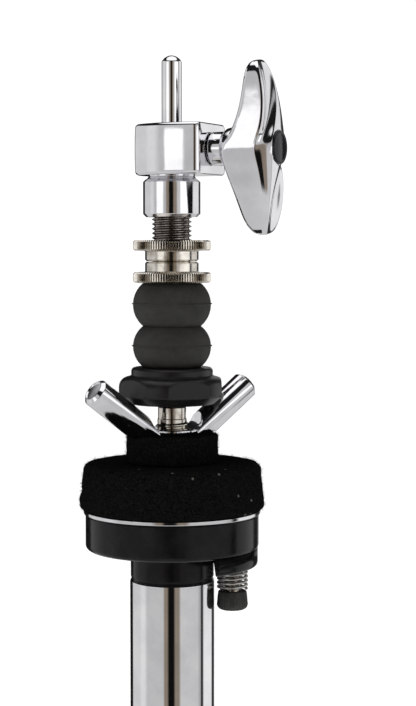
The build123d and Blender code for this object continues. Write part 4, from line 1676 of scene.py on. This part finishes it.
@dataclass
class WingBolt:
    """The cast handle that clamps the clutch, with its stud and cap."""

    yaw: float = 26.4
    roll: float = 7.0
    back_root: float = 20.0
    neck_radius: float = 4.2
    face: float = 12.9
    cap_radius: float = 4.9
    cap_front: float = 35.2
    cap_depth: float = 0.9
    stud_radius: float = 4.0
    stud_start: float = 5.9
    stud_pitch: float = 1.25
    stud_turns: int = 5
    stud_thread_depth: float = 0.6
    stations: Sequence[WingStation] = field(default=(
        WingStation(0.0, 8.1, 18.8, 18.8, 30.0, 30.0, 5.0, 34.6, 0.0),
        WingStation(2.8, 7.8, 20.6, 19.3, 31.2, 30.4, 3.8, 34.5, 0.0),
        WingStation(6.0, 7.3, 22.8, 20.1, 32.2, 30.9, 1.7, 34.2, 0.35),
        WingStation(10.0, 6.8, 24.4, 21.3, 32.8, 31.2, -1.0, 33.8, 1.1),
        WingStation(14.0, 6.2, 25.4, 22.5, 32.8, 31.3, -3.0, 33.2, 1.5),
        WingStation(18.0, 5.6, 26.0, 23.5, 32.4, 31.0, -3.9, 32.5, 1.5),
        WingStation(21.0, 5.1, 26.4, 24.4, 31.7, 30.5, -3.7, 31.8, 1.1),
        WingStation(23.6, 4.3, 27.0, 25.8, 30.9, 29.7, -2.6, 30.9, 0.3),
        WingStation(25.4, 2.6, 28.2, 27.5, 30.0, 29.1, -1.2, 30.1, 0.0),
    ))

    def frame(self) -> Matrix:
        """The turn and move from the bolt's own +X axis to its place."""
        low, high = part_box("wing_bolt_stud")
        lift = Matrix.Translation((0, 0, (low.z + high.z) / 2))
        yaw = Matrix.Rotation(math.radians(-self.yaw), 4, "Z")
        return lift @ yaw @ Matrix.Rotation(math.radians(self.roll), 4, "X")

    def build(self) -> None:
        """Build and dress the handle, the stud and the cap."""
        handle = join("wing_bolt_visual", [self.wings(), self.neck()])
        handle.data.transform(self.frame())
        even_normals(handle)
        dress(handle, CAST_CHROME, Body.WING_BOLT, ["wing_bolt"])
        self.stud()
        self.cap()

    def wings(self) -> bpy.types.Object:
        """The two wings as one subdivided cage; the lower is the upper turned half round."""
        upper = [
            [(front, -across, station.along) for across, front in station.ring()]
            for station in self.stations
        ]
        root = self.stations[0]
        front_points = len(root.near_side()) + 1 + len(root.far_side())
        lower = []
        for ring in upper[:0:-1]:
            turned_ring = [(x, -y, -z) for x, y, z in ring]
            front, back = turned_ring[:front_points], turned_ring[front_points:]
            lower.append([*front[::-1], *back[::-1]])
        piece = lofted("wings", [*lower, *upper])
        count = len(upper[0])
        crease = piece.data.attributes.new("crease_edge", "FLOAT", "EDGE")
        near_rim = {0: 0.7, 1: 0.7, 2: 0.55, 4: 0.85}
        far_edge = {6: 0.2, 8: 0.45, 9: 0.6, 10: 0.7}
        back_edges = {11: 0.75, 12: 0.75, 14: 0.75, 15: 0.75}
        sharp = near_rim | far_edge | back_edges
        for edge in piece.data.edges:
            first, second = edge.vertices
            if first % count == second % count:
                crease.data[edge.index].value = sharp.get(first % count, 0.0)
        subdivide(piece, 3)
        apply_stack(piece)
        face_outwards(piece.data, 0.005)
        seat_floor = self.cap_front - self.cap_depth
        seat = plug("cap_seat", self.cap_radius + 0.12, self.cap_front + 3.0, seat_floor)
        cut(piece, place(seat, Z_TO_X), Combine.TAKE_AWAY)
        smooth(piece)
        return piece

    def neck(self) -> bpy.types.Object:
        """The round neck that flares into the wings' back."""
        r = self.neck_radius
        profile = [
            (0.0, self.back_root + 4.0), (6.3, self.back_root + 4.0), (6.4, self.back_root + 1.2),
            (5.9, self.back_root - 1.2), (5.2, self.back_root - 1.9), (5.0, self.back_root - 2.4),
            (5.0, self.face + 1.2), (4.8, self.face + 0.9), (r, self.face + 0.9),
            (r - 0.3, self.face), (0.0, self.face),
        ]
        piece = turned("neck", profile, Closure.SOLID, steps=64, edge=0.15)
        return place(piece, Z_TO_X)

    def stud(self) -> bpy.types.Object:
        """The bolt's threaded stud, most of it inside the block."""
        start, end = self.stud_start, self.face + 0.4
        crest, depth = self.stud_radius, self.stud_thread_depth
        root = crest - depth
        profile = [(0.0, end), (root, end), (root, start), (0.0, start)]
        core = turned("stud_core", profile, Closure.SOLID, steps=48, edge=0.1)
        thread = helix_skin(
            "stud_thread", crest, depth, self.stud_pitch, start + 0.2, self.stud_turns, steps=40)
        piece = join("wing_bolt_stud_visual", [core, thread])
        piece.data.transform(self.frame() @ Z_TO_X)
        return dress(piece, NICKEL, Body.WING_BOLT, ["wing_bolt_stud"])

    def cap(self) -> bpy.types.Object:
        """The black disc in the middle of the handle, with a shallow groove near its edge."""
        low, high, r = self.cap_front - self.cap_depth, self.cap_front, self.cap_radius
        profile = [
            (0.0, high), (r - 1.2, high), (r - 0.9, high - 0.15), (r - 0.7, high - 0.15),
            (r - 0.45, high), (r - 0.2, high - 0.05), (r, high - 0.3), (r, low), (0.0, low),
        ]
        piece = turned("cap", profile, Closure.SOLID, steps=64, edge=0.1)
        place(piece, self.frame() @ Z_TO_X)
        piece.name = "wing_bolt_cap_visual"
        return dress(piece, CAP_BLACK, Body.WING_BOLT, ["wing_bolt_cap"])


# --- Studio ---------------------------------------------------------------------------------


@dataclass(frozen=True)
class Panel:
    """A stretch of the studio's wall, by azimuth from the camera's direction."""

    start: float
    end: float
    tone: float
    warmth: float = 0.0


@dataclass
class Studio:
    """The pale floor, the lights, the surroundings and the camera."""

    eye_height: float = 0.2204
    eye_distance: float = 0.522
    pitch: float = 3.53
    pan: float = 1.18
    lens: float = 89.2
    sensor: float = 36.0
    floor_half: float = 6000.0
    floor_gap: float = 0.2
    aim_height: float = 0.18
    walls: Sequence[Panel] = field(default=(
        Panel(-180, -139, 0.01),
        Panel(-135, -100, 0.74),
        Panel(-93, -82, 0.84),
        Panel(-72, -25, 0.60),
        Panel(-21, -14, 0.24, 0.22),
        Panel(-10, 4, 0.006),
        Panel(8, 18, 0.24, 0.20),
        Panel(23, 74, 0.66),
        Panel(78, 82, 0.50),
        Panel(86, 91, 0.01),
        Panel(96, 134, 0.95),
        Panel(138, 158, 0.04),
        Panel(162, 180, 0.60),
    ))
    strips: Sequence[Panel] = field(default=(
        Panel(-180, -65, 0.0),
        Panel(-62, -36, 1.0),
        Panel(-33, 32, 0.0),
        Panel(36, 80, 1.0),
        Panel(84, 180, 0.0),
    ))

    def build(self) -> None:
        """Build the floor, the lights, the surroundings and the camera."""
        self.floor()
        self.surroundings()
        self.softbox("key_softbox", (-0.9, -0.7, 1.0), 0.9, 7.0)
        self.softbox("fill_softbox", (1.0, -0.4, 0.7), 0.7, 3.0)
        self.camera()

    def floor(self) -> bpy.types.Object:
        """A plain pale floor under the object's lowest point."""
        level = CAD_BOX[0].z / MM - self.floor_gap
        half = self.floor_half
        corners = [(-half, -half), (half, -half), (half, half), (-half, half)]
        piece = mesh_piece("floor", [(x, y, level) for x, y in corners], [(0, 1, 2, 3)])
        paint = bpy.data.materials.new("pale_floor")
        paint.use_nodes = True
        tree = paint.node_tree
        tree.nodes.clear()
        surface = tree.nodes.new("ShaderNodeBsdfPrincipled")
        surface.label = "Matt white sweep, lit from behind"
        surface.inputs["Base Color"].default_value = (0.93, 0.93, 0.93, 1.0)
        surface.inputs["Roughness"].default_value = 1.0
        surface.inputs["Specular IOR Level"].default_value = 0.0
        surface.inputs["Emission Color"].default_value = (1.0, 1.0, 1.0, 1.0)
        surface.inputs["Emission Strength"].default_value = 0.5
        result = tree.nodes.new("ShaderNodeOutputMaterial")
        result.label = "Floor"
        result.location = (220, 0)
        tree.links.new(surface.outputs["BSDF"], result.inputs["Surface"])
        piece.data.materials.append(paint)
        piece.visible_glossy = False
        return piece

    def softbox(self, name: str, where: Sequence[float], size: float, power: float) -> None:
        """A square area light that points at the clutch.

        Args:
            name: The light's name.
            where: Its place in metres.
            size: Its side in metres.
            power: Its power in watts.
        """
        data = bpy.data.lights.new(name, "AREA")
        data.size = size
        data.energy = power
        lamp = bpy.data.objects.new(name, data)
        bpy.context.scene.collection.objects.link(lamp)
        lamp.location = where
        lamp.visible_glossy = False
        aim = Vector((0, 0, self.aim_height)) - Vector(where)
        lamp.rotation_euler = aim.to_track_quat("-Z", "Y").to_euler()

    def surroundings(self) -> None:
        """The world: a white backdrop, with grey and dark panels round the room."""
        world = bpy.data.worlds.new("studio")
        bpy.context.scene.world = world
        world.use_nodes = True
        tree = world.node_tree
        tree.nodes.clear()

        way = tree.nodes.new("ShaderNodeTexCoord")
        way.label = "Direction"
        parts = tree.nodes.new("ShaderNodeSeparateXYZ")
        parts.label = "Direction's parts"
        flip = tree.nodes.new("ShaderNodeMath")
        flip.label = "Towards the camera"
        flip.operation = "MULTIPLY"
        flip.inputs[1].default_value = -1.0
        azimuth = tree.nodes.new("ShaderNodeMath")
        azimuth.label = "Azimuth from the camera"
        azimuth.operation = "ARCTAN2"
        spread = tree.nodes.new("ShaderNodeMapRange")
        spread.label = "Azimuth as a share of a turn"
        spread.inputs["From Min"].default_value = -math.pi
        spread.inputs["From Max"].default_value = math.pi
        wall = tree.nodes.new("ShaderNodeValToRGB")
        wall.label = "Walls round the room"
        self.fill_ramp(wall.color_ramp, self.walls)
        lay_out([way, parts, flip, azimuth, spread, wall], -1400, 200)
        group_frame(tree, "Walls by azimuth", [way, parts, flip, azimuth, spread, wall])

        strip = tree.nodes.new("ShaderNodeValToRGB")
        strip.label = "Strip lights by azimuth"
        self.fill_ramp(strip.color_ramp, self.strips)
        strip_height = tree.nodes.new("ShaderNodeValToRGB")
        strip_height.label = "Strip lights by height"
        self.height_ramp(
            strip_height.color_ramp, ((-0.10, 0.0), (-0.07, 1.0), (0.130, 1.0), (0.142, 0.0)))
        strip_light = tree.nodes.new("ShaderNodeMix")
        strip_light.label = "Where a strip light shows"
        strip_light.data_type = "RGBA"
        strip_light.blend_type = "MULTIPLY"
        strip_light.inputs["Factor"].default_value = 1.0
        with_strips = tree.nodes.new("ShaderNodeMix")
        with_strips.label = "Walls with strip lights"
        with_strips.data_type = "RGBA"
        with_strips.blend_type = "ADD"
        with_strips.clamp_result = False
        with_strips.inputs["Factor"].default_value = 0.75
        lay_out([strip, strip_height, strip_light, with_strips], -1000, -80)
        group_frame(tree, "Strip lights", [strip, strip_height, strip_light, with_strips])

        raised = tree.nodes.new("ShaderNodeMapRange")
        raised.label = "Height as a share"
        raised.inputs["From Min"].default_value = -1.0
        raised.inputs["From Max"].default_value = 1.0
        beyond = tree.nodes.new("ShaderNodeValToRGB")
        beyond.label = "Floor, dark gap and ceiling"
        self.height_ramp(
            beyond.color_ramp,
            ((-0.45, 0.70), (0.0, 0.0), (0.52, 0.012), (0.78, 0.012), (0.84, 1.3)))
        off_wall = tree.nodes.new("ShaderNodeValToRGB")
        off_wall.label = "Where the walls end"
        self.height_ramp(
            off_wall.color_ramp, ((-0.45, 1.0), (-0.38, 0.0), (0.42, 0.0), (0.45, 1.0)))
        by_height = tree.nodes.new("ShaderNodeMix")
        by_height.label = "Walls or beyond"
        by_height.data_type = "RGBA"
        by_height.clamp_result = False
        lay_out([raised, beyond, off_wall, by_height], -1200, -400)
        group_frame(tree, "Light by height", [raised, beyond, off_wall, by_height])

        room = tree.nodes.new("ShaderNodeBackground")
        room.label = "Room"
        room.location = (100, 100)
        backdrop = tree.nodes.new("ShaderNodeBackground")
        backdrop.label = "White backdrop"
        backdrop.location = (100, -80)
        backdrop.inputs["Color"].default_value = (1.0, 1.0, 1.0, 1.0)
        backdrop.inputs["Strength"].default_value = 1.1
        seen = tree.nodes.new("ShaderNodeLightPath")
        seen.label = "Is it seen directly"
        seen.location = (100, 400)
        choose = tree.nodes.new("ShaderNodeMixShader")
        choose.label = "Backdrop or room"
        choose.location = (320, 100)
        result = tree.nodes.new("ShaderNodeOutputWorld")
        result.label = "Studio"
        result.location = (520, 100)

        tree.links.new(way.outputs["Generated"], parts.inputs["Vector"])
        tree.links.new(parts.outputs["Y"], flip.inputs[0])
        tree.links.new(parts.outputs["X"], azimuth.inputs[0])
        tree.links.new(flip.outputs["Value"], azimuth.inputs[1])
        tree.links.new(azimuth.outputs["Value"], spread.inputs["Value"])
        tree.links.new(spread.outputs["Result"], wall.inputs["Fac"])
        tree.links.new(spread.outputs["Result"], strip.inputs["Fac"])
        tree.links.new(parts.outputs["Z"], raised.inputs["Value"])
        tree.links.new(raised.outputs["Result"], strip_height.inputs["Fac"])
        tree.links.new(strip.outputs["Color"], strip_light.inputs["A"])
        tree.links.new(strip_height.outputs["Color"], strip_light.inputs["B"])
        tree.links.new(wall.outputs["Color"], with_strips.inputs["A"])
        tree.links.new(strip_light.outputs["Result"], with_strips.inputs["B"])
        tree.links.new(raised.outputs["Result"], beyond.inputs["Fac"])
        tree.links.new(raised.outputs["Result"], off_wall.inputs["Fac"])
        tree.links.new(off_wall.outputs["Color"], by_height.inputs["Factor"])
        tree.links.new(with_strips.outputs["Result"], by_height.inputs["A"])
        tree.links.new(beyond.outputs["Color"], by_height.inputs["B"])
        tree.links.new(by_height.outputs["Result"], room.inputs["Color"])
        tree.links.new(seen.outputs["Is Camera Ray"], choose.inputs["Fac"])
        tree.links.new(room.outputs["Background"], choose.inputs[1])
        tree.links.new(backdrop.outputs["Background"], choose.inputs[2])
        tree.links.new(choose.outputs["Shader"], result.inputs["Surface"])

    @staticmethod
    def set_stops(ramp: bpy.types.ColorRamp, stops: Sequence[tuple[float, Colour]]) -> None:
        """Fill a ramp with stops, each a position and a colour."""
        while len(ramp.elements) > 1:
            ramp.elements.remove(ramp.elements[-1])
        for index, (position, colour) in enumerate(stops):
            stop = ramp.elements[0] if index == 0 else ramp.elements.new(position)
            stop.position = position
            stop.color = (*colour, 1.0)

    def fill_ramp(self, ramp: bpy.types.ColorRamp, panels: Sequence[Panel]) -> None:
        """Fill a ramp with panels by azimuth."""
        self.set_stops(ramp, [
            ((edge + 180.0) / 360.0, (p.tone * (1 + p.warmth), p.tone, p.tone * (1 - p.warmth)))
            for p in panels for edge in (p.start, p.end)])

    def height_ramp(self, ramp: bpy.types.ColorRamp, stops: Sequence[Point]) -> None:
        """Fill a ramp with grey stops by the direction's height, from -1 to 1."""
        self.set_stops(ramp, [((height + 1.0) / 2.0, (tone, tone, tone)) for height, tone in stops])

    def camera(self) -> None:
        """A long lens at the clutch's height, tipped slightly down."""
        data = bpy.data.cameras.new("camera")
        data.lens = self.lens
        data.sensor_width = self.sensor
        eye = bpy.data.objects.new("camera", data)
        bpy.context.scene.collection.objects.link(eye)
        eye.location = (0.0, -self.eye_distance, self.eye_height)
        eye.rotation_euler = (math.radians(90.0 - self.pitch), 0.0, math.radians(-self.pan))
        bpy.context.scene.camera = eye
        bpy.context.scene.view_settings.view_transform = "Standard"


def main() -> None:
    """Build the studio and every sub-assembly."""
    logging.basicConfig(level=logging.INFO, format="%(message)s")
    builders = (
        Studio(), TubeAndSocket(), Tilter(), CymbalSeat(),
        WingNut(), PullRod(), Clutch(), WingBolt(),
    )
    for builder in builders:
        LOG.info("building %s", type(builder).__name__)
        builder.build()


if __name__ == "__main__":
    main()
